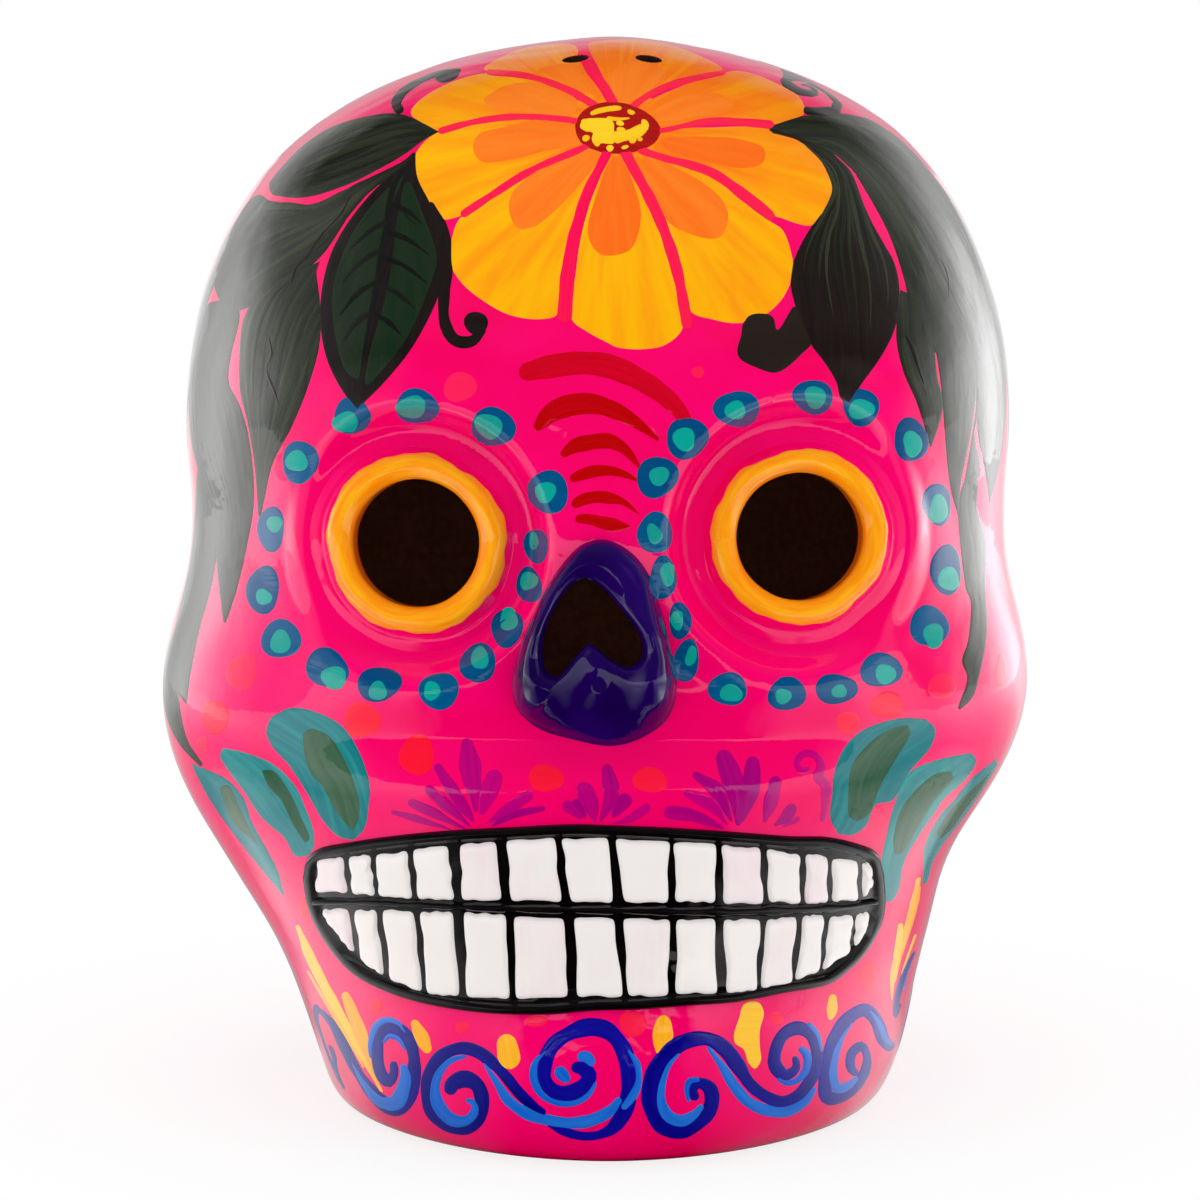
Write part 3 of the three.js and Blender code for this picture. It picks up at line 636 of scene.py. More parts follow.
def smooth_line(points, step, closed=False):
    """Even steps along a smooth curve through points; further columns follow along. The curve
    is a Catmull-Rom spline, stepped by the square root of each chord. step is a length in
    pixels, or the shares of the whole line to stop at."""
    p = np.asarray(points, float)
    if closed:
        padded = np.concatenate([p[-1:], p, p[:2]])
    else:
        padded = np.concatenate([2 * p[:1] - p[1:2], p, 2 * p[-1:] - p[-2:-1]])
    dense = []
    for i in range(len(padded) - 3):
        p0, p1, p2, p3 = padded[i : i + 4]
        t0 = 0
        t1 = max(np.linalg.norm(p1[:2] - p0[:2]), 1e-6) ** 0.5
        t2 = t1 + max(np.linalg.norm(p2[:2] - p1[:2]), 1e-6) ** 0.5
        t3 = t2 + max(np.linalg.norm(p3[:2] - p2[:2]), 1e-6) ** 0.5
        t = np.linspace(t1, t2, CURVE_STEPS, endpoint=False)[:, None]
        a1 = (t1 - t) / (t1 - t0) * p0 + (t - t0) / (t1 - t0) * p1
        a2 = (t2 - t) / (t2 - t1) * p1 + (t - t1) / (t2 - t1) * p2
        a3 = (t3 - t) / (t3 - t2) * p2 + (t - t2) / (t3 - t2) * p3
        b1 = (t2 - t) / (t2 - t0) * a1 + (t - t0) / (t2 - t0) * a2
        b2 = (t3 - t) / (t3 - t1) * a2 + (t - t1) / (t3 - t1) * a3
        dense.append((t2 - t) / (t2 - t1) * b1 + (t - t1) / (t2 - t1) * b2)
    dense.append(padded[-2:-1])
    dense = np.concatenate(dense)
    along = travelled(dense[:, :2])
    if np.ndim(step):
        wanted = np.asarray(step) * along[-1]
    else:
        count = max(2, int(round(along[-1] / step)))
        wanted = np.linspace(0, along[-1], count + 1)
        if closed:
            wanted = wanted[:-1]
    return np.stack([np.interp(wanted, along, dense[:, k]) for k in range(dense.shape[1])], 1)


def travelled(points):
    """How far along a line each of its points lies."""
    return np.concatenate([[0], np.cumsum(np.linalg.norm(np.diff(points, axis=0), axis=1))])


def line_length(points):
    """How long a line is in the picture."""
    return np.linalg.norm(np.diff(np.asarray(points, float)[:, :2], axis=0), axis=1).sum()


END_STEPS = np.array([0, 0.12, 0.3, 0.55, 0.8])


def end_steps(length, ramp, step):
    """Steps along a mark, from 0 to 1, closer where its ends round off."""
    ramp = min(ramp, length / 3)
    ends = END_STEPS * ramp
    count = max(2, int((length - 2 * ramp) / step))
    body = np.linspace(ramp, length - ramp, count + 1)
    return np.concatenate([ends, body, length - ends[::-1]]) / length


def rounded(depth, ramp):
    """How far up its edge a mark has risen, a depth in from the edge."""
    t = np.clip(depth / ramp, 0, 1)
    return np.sqrt(np.maximum(1 - (1 - t) ** 2, 0)) * 0.5 + 0.5 * t * t * (3 - 2 * t)


# A mark's edge lies this deep in the clay. Each mark of a colour stands a little higher than the
# one before it, up to a cycle of them, so that neighbours that cross don't share a height
SUNK = 0.02
MARK_RISE = 0.002
MARK_CYCLE = 12
# How far apart the rows of a mark are along it, and across it where it is wide
ROW_STEP = 3.2
CELL = 4.5
MOST_CELLS = 22
EDGE_STEPS = np.array([0, 0.15, 0.4, 0.7])
# The most that a mark's rounded edge takes of its width, or of a filled shape's reach
EDGE_OF_WIDTH = 0.34
EDGE_OF_REACH = 0.4
END_RAMPS = 1.5
INNERMOST_SHARE = 0.015
THINNEST = 0.12
ROUND_FLOOR = 0.0004
STREAK_SPREAD = 40
FAN_SCALE = 60
# How a stroke's width wavers along it: the lengths of two waves in pixels, and the second's share
WAVER_LENGTHS = (9, 4.3)
SECOND_WAVER = 0.6
LONGEST_PHASE = 6
DOT_POINTS = 14
DOT_STEP = 2.4
# How far the marks of each piece stand off the clay, in millimetres. The mouth and the teeth
# say themselves how high they are
LIFTS = {
    "flower_petals": 0.04, "flower_tongues": 0.075, "flower_petal_lines": 0.105,
    "flower_disc": 0.14, "flower_beads": 0.34, "back_leaves": 0.05, "front_leaves": 0.11,
    "leaf_streaks": 0.12, "side_leaves": 0.04, "leaf_insides": 0.14, "leaf_veins": 0.165,
    "tendrils": 0.09, "blue_dots": 0.09, "teal_dots": 0.13, "red_dots": 0.04,
    "brow_strokes": 0.06, "cheek_drops": 0.06, "cheek_drop_centres": 0.1, "sprigs": 0.035,
    "jaw_dabs": 0.06, "jaw_scrolls": 0.1, "jaw_scroll_lights": 0.16,
    "back_dabs": 0.06, "back_scrolls": 0.1, "back_scroll_lights": 0.16,
}


class Paint:
    """Marks of one colour, gathered into one thin raised mesh. ramp is how far in from its edge
    a mark is rounded, in pixels; relief is how much of its form the varnish still shows."""

    def __init__(self, name, canvas, rays=wrapped_rays, ramp=2.2, relief=0.25):
        self.name = name
        self.lift = LIFTS.get(name, 0)
        self.canvas = canvas
        self.rays = rays
        self.ramp = ramp
        self.relief = relief
        self.flat = []
        self.lifts = []
        self.strokes = []
        self.shades = []
        self.faces = []
        self.count = 0

    def lay(self, flat, depth, along, across, span, shade, closed=False, lift=None, profile=None):
        """A grid of places in the picture with how deep in from its edge each lies."""
        rows, columns = flat.shape[:2]
        top = self.lift + MARK_RISE * (len(self.flat) % MARK_CYCLE) if lift is None else lift
        raised = profile(depth) if profile else -SUNK + (top + SUNK) * rounded(depth, self.ramp)
        places = flat.reshape(-1, 2)
        self.faces += grid_faces(rows, columns, self.count, closed)
        self.flat.append(places)
        self.lifts.append(np.asarray(raised).reshape(-1))
        seed = rng.random() * STREAK_SPREAD
        stroke = np.stack([along * PIXEL + seed, across * PIXEL + seed, span], -1)
        self.strokes.append(stroke.reshape(-1, 3))
        if callable(shade):
            self.shades.append(np.clip(shade(places), 0, 1))
        else:
            self.shades.append(np.full(len(places), rng.random() if shade is None else shade))
        self.count += len(places)

    def between(self, left, right, shade=None):
        """A mark between two edges that both run from its start to its end."""
        length = (line_length(left) + line_length(right)) / 2
        t = end_steps(length, self.ramp * END_RAMPS, ROW_STEP)
        self.sheet(smooth_line(left, t), smooth_line(right, t), t * length, shade)

    def sheet(self, left, right, along, shade=None, lift=None):
        """Rows of places from one edge of a mark across to the other."""
        width = np.maximum(np.linalg.norm(right - left, axis=1), 1e-3)[:, None]
        edge = np.minimum(self.ramp, EDGE_OF_WIDTH * width)
        inner = max(2, min(MOST_CELLS, int((width.max() - 2 * self.ramp) / CELL)))
        near = EDGE_STEPS * edge
        core = edge + (width - 2 * edge) * np.linspace(0, 1, inner + 1)
        across = np.concatenate([near, core, (width - near)[:, ::-1]], 1)
        t = across / width
        flat = left[:, None, :] + (right - left)[:, None, :] * t[..., None]
        runs = np.broadcast_to(along[:, None], t.shape)
        depth = np.minimum(across, width - across)
        self.lay(flat, depth, runs, across - width / 2, t, shade, lift=lift)

    def ribbon(self, line, widths, step=ROW_STEP, shade=None, lift=None, wobble=0.06):
        """A brush stroke along a line, with its width at each point and round ends."""
        data = np.column_stack([np.asarray(line, float), np.asarray(widths, float)])
        length = line_length(smooth_line(data, step))
        t = end_steps(length, max(widths[0], widths[-1], 4) / 2, step)
        fine = smooth_line(data, t)
        along = t * length
        half = fine[:, 2] / 2
        for run, width in ((along, widths[0]), (length - along, widths[-1])):
            inward = 1 - np.minimum(run / max(width / 2, 0.4), 1)
            half = half * np.sqrt(np.clip(1 - inward**2, ROUND_FLOOR, 1))
        half = np.maximum(half, THINNEST)
        phase = rng.random() * LONGEST_PHASE
        slow, quick = WAVER_LENGTHS
        uneven = 1 + wobble * np.sin(along / slow + phase)
        uneven = uneven + SECOND_WAVER * wobble * np.sin(along / quick + 2 * phase)
        tangent = unit(np.gradient(fine[:, :2], axis=0))
        reach = (half * uneven)[:, None] * np.stack([-tangent[:, 1], tangent[:, 0]], 1)
        self.sheet(fine[:, :2] - reach, fine[:, :2] + reach, along, shade, lift)

    def ribbons(self, strokes, **settings):
        """A brush stroke for each line and its widths."""
        for line, widths in strokes:
            self.ribbon(line, widths, **settings)

    def blob(
        self, outline, shade=None, lift=None, profile=None, step=3.0, axis=0, middle=None, grow=0,
    ):
        """A filled shape. Streaks run along its axis, or out from a middle point."""
        edge = smooth_line(outline, step, closed=True)
        centre = edge.mean(0)
        reach = np.linalg.norm(edge - centre, axis=1)
        edge = centre + (edge - centre) * (1 + grow / np.maximum(reach, 1))[:, None]
        reach = reach + grow
        ramp = min(self.ramp, EDGE_OF_REACH * reach.min())
        rings = max(3, int((reach.mean() - ramp) / CELL))
        shares = [1 - step_in * ramp / reach for step_in in EDGE_STEPS]
        shares += [(1 - ramp / reach) * (1 - k / rings) for k in range(rings)]
        shares.append(np.full(len(reach), INNERMOST_SHARE))
        flat = np.array([centre + (edge - centre) * share[:, None] for share in shares])
        depth = np.array([(1 - share) * reach for share in shares])
        if middle is not None:
            local = flat - np.asarray(middle, float)
            along = np.linalg.norm(local, axis=-1)
            across = np.arctan2(local[..., 1], local[..., 0]) * FAN_SCALE
        else:
            turn = math.radians(axis)
            along = (flat - centre) @ np.array([math.cos(turn), math.sin(turn)])
            across = (flat - centre) @ np.array([-math.sin(turn), math.cos(turn)])
        self.lay(flat, depth, along, across, np.full(along.shape, 0.5), shade, True, lift, profile)
        self.faces.append(tuple(range(self.count - len(edge), self.count)))

    def dot(self, centre, width, height, angle=0, shade=None, lift=None, wobble=0.035):
        """A dab of the brush's tip, round or oval."""
        turns = full_turn(DOT_POINTS)
        first, second = rng.random() * LONGEST_PHASE, rng.random() * LONGEST_PHASE
        uneven = 1 + wobble * np.sin(2 * turns + first) + wobble * np.sin(3 * turns + second)
        x, y = width / 2 * np.cos(turns) * uneven, height / 2 * np.sin(turns) * uneven
        turn = math.radians(angle)
        outline = np.stack([
            centre[0] + x * math.cos(turn) - y * math.sin(turn),
            centre[1] + x * math.sin(turn) + y * math.cos(turn),
        ], 1)
        self.blob(outline, shade, lift, axis=angle, step=DOT_STEP)

    def made(self, material, slot=None):
        """The gathered marks as one object on the clay."""
        flat = np.concatenate(self.flat)
        places, normals = self.canvas.cast(*self.rays(flat))
        points = places + normals * np.concatenate(self.lifts)[:, None]
        piece = mesh_object(self.name, points, self.faces)
        set_values(piece, "stroke", "FLOAT_VECTOR", np.concatenate(self.strokes))
        set_values(piece, "shade", "FLOAT", np.concatenate(self.shades))
        face_outwards(piece.data, normals)
        if open_vents(piece.data):
            normals = self.canvas.nearest_normals(piece.data)
        self.varnish(piece.data, normals)
        piece.data.materials.append(material)
        finish_piece(piece)
        return piece

    def varnish(self, mesh, normals):
        """Lets the clear varnish level out most of a thin mark's relief."""
        if self.relief < 1:
            own = read_rows(mesh.vertex_normals, "vector")
            levelled = unit(mix(normals, own, self.relief))
            mesh.normals_split_custom_set_from_vertices(levelled.tolist())


def face_outwards(mesh, normals):
    """Turns each face of a thin mark so that it looks out from the clay."""
    first = np.array([polygon.vertices[0] for polygon in mesh.polygons])
    wrong = (read_rows(mesh.polygons, "normal") * normals[first]).sum(1) < 0
    edit = bmesh.new()
    edit.from_mesh(mesh)
    edit.faces.ensure_lookup_table()
    bmesh.ops.reverse_faces(edit, faces=[edit.faces[i] for i in np.nonzero(wrong)[0]])
    edit.to_mesh(mesh)
    edit.free()


VENTS = [
    (VENT_SHIFT + side * VENT_SPACING / 2, -VENT_FORWARD_SHARE * SKULL_DEPTH) for side in (-1, 1)
]
VENT_REACH = 3
VENT_MARGIN = 0.02
VENT_SNAP = 0.3
VENT_CUTS = 7


def open_vents(mesh):
    """Opens the paint where the crown's two vents come through it. True where it did."""
    edit = bmesh.new()
    edit.from_mesh(mesh)
    opened = False
    for x, y in VENTS:
        middle = Vector((x * MM, y * MM))

        def near(place, reach):
            return place.z > SKULL_HEIGHT * MM / 2 and (place.xy - middle).length < reach * MM

        faces = [
            face for face in edit.faces
            if near(face.calc_center_median(), VENT_RADIUS + VENT_REACH)
            or any(near(corner.co, VENT_RADIUS + 1) for corner in face.verts)
        ]
        if not faces:
            continue
        opened = True
        edges = list({edge for face in faces for edge in face.edges})
        bmesh.ops.subdivide_edges(edit, edges=edges, cuts=VENT_CUTS, use_grid_fill=True)
        bmesh.ops.triangulate(edit, faces=[face for face in edit.faces if len(face.verts) > 4])
        gone = [corner for corner in edit.verts if near(corner.co, VENT_RADIUS + VENT_MARGIN)]
        bmesh.ops.delete(edit, geom=gone, context="VERTS")
        for corner in edit.verts:
            if near(corner.co, VENT_RADIUS + VENT_SNAP):
                away = (corner.co.xy - middle).normalized() * (VENT_RADIUS + VENT_MARGIN) * MM
                corner.co.x, corner.co.y = middle.x + away.x, middle.y + away.y
    edit.to_mesh(mesh)
    edit.free()
    return opened


def finish_piece(piece):
    """Every piece rides on the skull's one body."""
    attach(piece, "root")


# Materials
def srgb(*screen):
    """A colour written as it looks on a screen, from 0 to 255."""
    values = []
    for value in screen:
        share = value / 255
        values.append(share / 12.92 if share <= 0.04045 else ((share + 0.055) / 1.055) ** 2.4)
    return (*values, 1)


def new_material(name):
    """A material and its tree of nodes."""
    material = bpy.data.materials.new(name)
    material.use_nodes = True
    return material, material.node_tree


def connect(tree, made, inputs):
    """Links or sets the inputs of a node, by their names or numbers."""
    for key, value in inputs.items():
        if isinstance(value, bpy.types.NodeSocket):
            tree.links.new(value, made.inputs[key])
        else:
            made.inputs[key].default_value = value


def node(tree, kind, inputs=None, **settings):
    """A new node with its settings and its inputs."""
    made = tree.nodes.new(kind)
    for key, value in settings.items():
        setattr(made, key, value)
    connect(tree, made, inputs or {})
    return made


def calc(tree, operation, *values, clamp=False):
    """A sum, product or other reckoning with one or two values."""
    made = node(
        tree, "ShaderNodeMath", dict(enumerate(values)), operation=operation, use_clamp=clamp
    )
    return made.outputs[0]


def blend(tree, share, first, second):
    """The first colour where share is 0, and the second where it is 1."""
    inputs = {0: share, 6: first, 7: second}
    return node(tree, "ShaderNodeMix", inputs, data_type="RGBA").outputs[2]


def ramped(tree, value, low, high, start=0.0, end=1.0):
    """From start, where the value is low, evenly to end, where it is high."""
    made = node(
        tree, "ShaderNodeMapRange",
        {"Value": value, "From Min": low, "From Max": high, "To Min": start, "To Max": end},
    )
    return made.outputs["Result"]


def object_place(tree):
    """The place in the piece's own space, in metres."""
    return node(tree, "ShaderNodeTexCoord").outputs["Object"]


def painted(tree, name, output):
    """What the points of a mesh hold under a name."""
    return node(tree, "ShaderNodeAttribute", attribute_name=name).outputs[output]


def noise(tree, place, stretch, **inputs):
    """Clouds over places that are stretched along each axis first."""
    mapped = node(tree, "ShaderNodeMapping", {"Vector": place, "Scale": stretch}).outputs[0]
    return node(tree, "ShaderNodeTexNoise", {"Vector": mapped, **inputs}).outputs["Fac"]


def clay_noise(tree, scale, detail=3.0, distortion=0.0, stretch=(1, 1, 1)):
    """Clouds or grain in the clay's own space, the same field over every piece."""
    place = object_place(tree)
    return noise(tree, place, stretch, Scale=scale, Detail=detail, Distortion=distortion)


def streaks(tree, fine, long):
    """Bristle marks along a stroke, in millimetres."""
    place = painted(tree, "stroke", "Vector")
    return noise(tree, place, (long, fine, 0.0), Scale=1.0, Detail=3.0, Roughness=0.6)


def bump(tree, distance, height, **inputs):
    """The normal of a surface with a relief, a distance in metres high."""
    heights = {"Strength": 1.0, "Distance": distance, "Height": height, **inputs}
    return node(tree, "ShaderNodeBump", heights).outputs[0]


VARNISH_WAVE = 0.00045
FINE_WAVE_SHARE = 0.16
BRISTLE_HEIGHT = 0.00002
CLAY_GRAIN = 0.0002


def glossy(name, colour_of, relief_of=None, wave=VARNISH_WAVE):
    """Paint under clear varnish. colour_of builds its colour; relief_of adds to its height."""
    material, tree = new_material(name)
    wide = clay_noise(tree, 62.0, detail=1.0, distortion=0.6)
    fine = calc(tree, "MULTIPLY", clay_noise(tree, 210.0, detail=2.0), FINE_WAVE_SHARE)
    normal = bump(tree, wave, calc(tree, "ADD", wide, fine))
    if relief_of is not None:
        normal = bump(tree, BRISTLE_HEIGHT, relief_of(tree), Normal=normal)
    connect(tree, tree.nodes["Principled BSDF"], {
        "Base Color": colour_of(tree), "Roughness": 0.45, "Specular IOR Level": 0.0,
        "Coat Weight": 1.0, "Coat Roughness": 0.035, "Coat IOR": 1.52,
        "Normal": normal, "Coat Normal": normal,
    })
    return material


def mottled(cloud, low, high, first, second):
    """A colour that runs in clouds from one to another. cloud is what clay_noise takes."""
    return lambda tree: blend(tree, ramped(tree, clay_noise(tree, *cloud), low, high), first, second)


def pink_colour(tree):
    """Hot pink in long brush marks up the head, deeper in wide clouds."""
    cloud = ramped(tree, clay_noise(tree, 14.0, detail=2.0), 0.42, 0.75, end=0.7)
    brush = (46.0, 4.0, 0.8, (1, 1, 2.2))
    deep = mottled(brush, 0.35, 0.72, srgb(254, 0, 112), srgb(248, 0, 96))(tree)
    return blend(tree, cloud, deep, srgb(240, 0, 92))


def raw_colour(tree):
    """Fired clay, dusty in its grain, with darker clouds."""
    cloud = ramped(tree, clay_noise(tree, 60.0), 0.4, 0.7, end=0.6)
    grain = (900.0, 4.0)
    dusty = mottled(grain, 0.3, 0.75, (0.5, 0.21, 0.1, 1), (0.66, 0.3, 0.15, 1))(tree)
    return blend(tree, cloud, dusty, (0.36, 0.15, 0.07, 1))


def raw_material(name, colour_of):
    """Bare fired clay, inside and under the foot; with a darker colour, a painted shade, down the
    vents.
    """
    material, tree = new_material(name)
    connect(tree, tree.nodes["Principled BSDF"], {
        "Base Color": colour_of(tree), "Roughness": 0.9,
        "Normal": bump(tree, CLAY_GRAIN, clay_noise(tree, 700.0, detail=5.0)),
    })
    return material


# A dark clay colour for the walls of the crown's vents: painted shade in the holes
vent_shade_colour = mottled((700.0, 4.0), 0.3, 0.75, srgb(58, 22, 14), srgb(28, 10, 8))
indigo_colour = mottled((90.0, 3.0, 0.5), 0.35, 0.75, srgb(34, 2, 92), srgb(20, 0, 64))
black_colour = mottled((160.0, 3.0), 0.35, 0.7, srgb(4, 2, 2), srgb(11, 8, 8))
pink = glossy("pink_paint", pink_colour)
raw = raw_material("raw_clay", raw_colour)
vent_shade = raw_material("vent_shade_clay", vent_shade_colour)
indigo = glossy("indigo_paint", indigo_colour, wave=0.0007)
black = glossy("black_paint", black_colour, wave=0.0008)


# The hollow clay, one piece from foot to crown
BORE_RELIEF = 1.9
CAVITY_FINENESS = 0.42
outer = head_solid("skull_shell", SKULL_ROWS, 0, 1)
clay = Canvas(outer)
cut(outer, head_solid("cavity_cutter", CAVITY_ROWS, WALL, CAVITY_FINENESS))
for eye in EYES:
    reach = eye.axis * 2 * (WALL + SOCKET_DEPTH)
    ends = eye.floor - reach, eye.floor + reach
    cut(outer, tube_cutter("bore_cutter", *ends, EYE_BORE_RADIUS + BORE_RELIEF))
for x, y in VENTS:
    low, high = (x, y, SKULL_HEIGHT - 20), (x, y, SKULL_HEIGHT + 5)
    cut(outer, tube_cutter("vent_cutter", low, high, VENT_RADIUS))

# The nose's outer edge and its hole, as the photograph shows them
NOSE_OUTER = [
    (606, 541), (630, 553), (648, 575), (658, 603), (669, 640), (676, 685), (667, 717),
    (641, 736), (611, 744), (576, 738), (540, 727), (519, 710), (513, 683), (522, 643),
    (538, 605), (560, 568), (583, 545),
]
NOSE_HOLE = [
    (585, 579), (600, 586), (624, 613), (640, 637), (642, 656), (628, 667), (608, 658),
    (590, 644), (577, 655), (561, 675), (548, 673), (543, 653), (547, 627), (560, 600),
    (573, 584),
]


NOSE_MIDDLE = np.array([595.0, 628.0])
NOSE_STEPS = 180
NOSE_LINE_STEP = 0.8
NOSE_HOLE_GROWTH = 1.02
NOSE_CUT_REACH = (20, 30)


def by_bearing(outline):
    """A closed outline stepped evenly by its bearing from the nose's middle, from the top round."""
    fine = smooth_line(outline, NOSE_LINE_STEP, closed=True) - NOSE_MIDDLE
    turn = np.unwrap(np.arctan2(fine[:, 0], -fine[:, 1]))
    if turn[-1] < turn[0]:
        turn, fine = turn[::-1], fine[::-1]
    order = np.maximum.accumulate(turn)
    wanted = order[0] + (full_turn(NOSE_STEPS) - order[0]) % (2 * math.pi)
    closed_turn = np.append(order, order[0] + 2 * math.pi)
    closed = np.concatenate([fine, fine[:1]])
    places = [np.interp(wanted, closed_turn, closed[:, k]) for k in range(2)]
    return NOSE_MIDDLE + np.stack(places, 1)


nose_outer, nose_hole = by_bearing(NOSE_OUTER), by_bearing(NOSE_HOLE)


def nose_cutter():
    """The hole's outline, drawn along the camera's rays from before the clay to behind it."""
    origins, directions = photo_rays(NOSE_MIDDLE + (nose_hole - NOSE_MIDDLE) * NOSE_HOLE_GROWTH)
    places, _ = clay.cast(origins, directions)
    before, behind = NOSE_CUT_REACH
    near, far = places - before * directions, places + behind * directions
    return ringed_solid("nose_cutter", np.array([near, far]), near.mean(0), far.mean(0))


cut(outer, nose_cutter())
PAINT_DEPTH = 0.3
FOOT_LOOKS_DOWN = -0.8
SHARP_EDGE = math.radians(35)


def finish_shell(shell):
    """Painted clay outside, bare clay inside and dark clay down the vents as painted shade, with crisp
    edges at the holes.
    """
    mesh = shell.data
    mesh.materials.clear()
    for material in (pink, raw, vent_shade):
        mesh.materials.append(material)
    middles = read_rows(mesh.polygons, "center") / MM
    looks = read_rows(mesh.polygons, "normal")
    away = np.array([clay.tree.find_nearest(middle)[3] for middle in middles.tolist()])
    under = (middles[:, 2] < PAINT_DEPTH) & (looks[:, 2] < FOOT_LOOKS_DOWN)
    bare = ((away > PAINT_DEPTH) | under).astype(np.int32)
    # The walls of the crown's vents take the dark clay, a painted shade
    for vent in VENTS:
        near = np.linalg.norm(middles[:, :2] - np.array(vent), axis=1) < VENT_RADIUS + 1
        bare[near & (bare == 1) & (middles[:, 2] > SKULL_HEIGHT / 2)] = 2
    mesh.polygons.foreach_set("material_index", bare)
    mesh.shade_smooth()
    mesh.set_sharp_from_angle(angle=SHARP_EDGE)
    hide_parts("face_shell", "back_shell")
    finish_piece(shell)


finish_shell(outer)


# The rolled collars round the eyes: a coil of clay, smoothed outwards to a thin skirt
COIL_INNER = 1.9
COIL_OUTER = 2.6
COIL_RISE = 2.8
COIL_LIP_SHARE = 0.62
COIL_FALL_POWER = 1.35
COIL_POINTS = (10, 16, 26, 12)
BORE_FOOT = [(BORE_RELIEF + 0.2, -5), (0.8, -3.6)]
BORE_START = -2.8
SKIRT_RISE = 0.35
SKIRT_OVERLAP = 0.4
SKIRT_SINK = -0.15
COLLAR_POINTS = 168
# The orange coat on a collar: how far down the bore it starts, its rows, and its thickness
RING_DROP = 3.6
RING_POINTS = 200
RING_ROWS = 26
RING_ENDS = [0, 0.012, 0.03, 0.06]
RING_FIRST = 0.08
RING_SINK = -0.06
RING_RISE = 0.17
RING_RAMP = 0.4
RING_STREAKS = 12
RING_STREAK_SHIFT = 9


def collar_profile():
    """Radius and height above the socket floor, from inside the bore over the crest and out."""
    bore_points, lip_points, coil_points, skirt_points = COIL_POINTS
    crest_radius = EYE_BORE_RADIUS + COIL_INNER
    lip = (SEAT_SINK + COIL_RISE) * COIL_LIP_SHARE - SEAT_SINK
    points = [(EYE_BORE_RADIUS + wider, z) for wider, z in BORE_FOOT]
    points += [(EYE_BORE_RADIUS, z) for z in np.linspace(BORE_START, lip, bore_points)[:-1]]
    for turn in np.linspace(math.pi, math.pi / 2, lip_points):
        points.append((
            crest_radius + (crest_radius - EYE_BORE_RADIUS) * math.cos(turn),
            lip + (COIL_RISE - lip) * math.sin(turn),
        ))
    for share in np.linspace(0, 1, coil_points)[1:]:
        fall = (1 + math.cos(math.pi * share**COIL_FALL_POWER)) / 2
        points.append((crest_radius + share * COIL_OUTER, mix(SKIRT_RISE, COIL_RISE, fall)))
    skirt = FLOOR_RADIUS + SKIRT_OVERLAP - crest_radius - COIL_OUTER
    for share in np.linspace(0, 1, skirt_points)[1:]:
        fall = (1 + math.cos(math.pi * share)) / 2
        height = mix(SKIRT_SINK, SKIRT_RISE, fall)
        points.append((crest_radius + COIL_OUTER + share * skirt, height))
    return np.array(points)


PROFILE = collar_profile()


def collar_points(eye, radius, height, turn, lift=0.0, normal=None):
    """Places round an eye, a little uneven as rolled by hand."""
    phase = 1.3 + eye.side
    wobble = 0.16 * np.sin(2 * turn + phase) + 0.1 * np.sin(5 * turn - phase) + 0.05 * np.sin(9 * turn)
    rise = 0.14 * np.sin(3 * turn + 2 * phase) + 0.06 * np.sin(7 * turn + phase)
    out = smoothstep(radius, EYE_BORE_RADIUS, EYE_BORE_RADIUS + 2) * (
        1 - smoothstep(radius, COLLAR_RADIUS - 1, FLOOR_RADIUS)
    )
    r = radius + wobble * (0.25 + 0.75 * out)
    h = height + rise * out
    if normal is not None:
        r = r + normal[..., 0] * lift
        h = h + normal[..., 1] * lift
    round_it = np.cos(turn)[..., None] * eye.right + np.sin(turn)[..., None] * eye.up
    return eye.floor + r[..., None] * round_it + h[..., None] * eye.axis


def collar_piece(eye, name):
    """The coil of clay round one eye, in the pink that shows beside its orange coat."""
    turn = full_turn(COLLAR_POINTS)
    radius, height = (np.repeat(PROFILE[:, k : k + 1], len(turn), 1) for k in range(2))
    points = collar_points(eye, radius, height, np.broadcast_to(turn, radius.shape))
    faces = grid_faces(len(PROFILE), len(turn), closed=True)
    made = mesh_object(name, points.reshape(-1, 3), faces)
    made.data.materials.append(pink)
    return made


def ring_paint(eye, name, material, outer_radius, uneven):
    """Orange paint over a collar's bevel and crest, with a hand-painted outer edge."""
    steps = travelled(PROFILE)
    slope = np.gradient(PROFILE, axis=0)
    normals = unit(np.stack([-slope[:, 1], slope[:, 0]], 1))
    crest = int(np.argmax(PROFILE[:, 1]))
    lip = int(np.nonzero(PROFILE[:crest, 0] <= EYE_BORE_RADIUS + 0.001)[0][-1])
    start = steps[lip] - RING_DROP
    turn = full_turn(RING_POINTS)
    waves = 0.5 * np.sin(3 * turn + eye.side) + 0.35 * np.sin(7 * turn + 2)
    waves = waves + 0.3 * np.sin(11 * turn - eye.side) + 0.2 * np.sin(23 * turn)
    tail = np.arange(crest, len(PROFILE))
    end = np.interp(outer_radius + uneven * waves, PROFILE[tail, 0], steps[tail])
    shares = with_close_ends(RING_ENDS, RING_FIRST, RING_ROWS)
    s = start + shares[:, None] * (end - start)[None, :]
    depth = np.minimum(s - start, end - s)
    lift = RING_SINK + RING_RISE * rounded(depth, RING_RAMP)
    radius, height = (np.interp(s, steps, PROFILE[:, k]) for k in range(2))
    normal = np.stack([np.interp(s, steps, normals[:, k]) for k in range(2)], -1)
    turns = np.broadcast_to(turn, s.shape)
    points = collar_points(eye, radius, height, turns, lift, normal)
    faces = grid_faces(len(shares), len(turn), closed=True)
    made = mesh_object(name, points.reshape(-1, 3), faces)
    round_it = turns * RING_STREAKS + eye.side * RING_STREAK_SHIFT
    stroke = np.stack([round_it, s, s - steps[lip]], -1)
    set_values(made, "stroke", "FLOAT_VECTOR", stroke)
    made.data.materials.append(material)
    finish_piece(made)


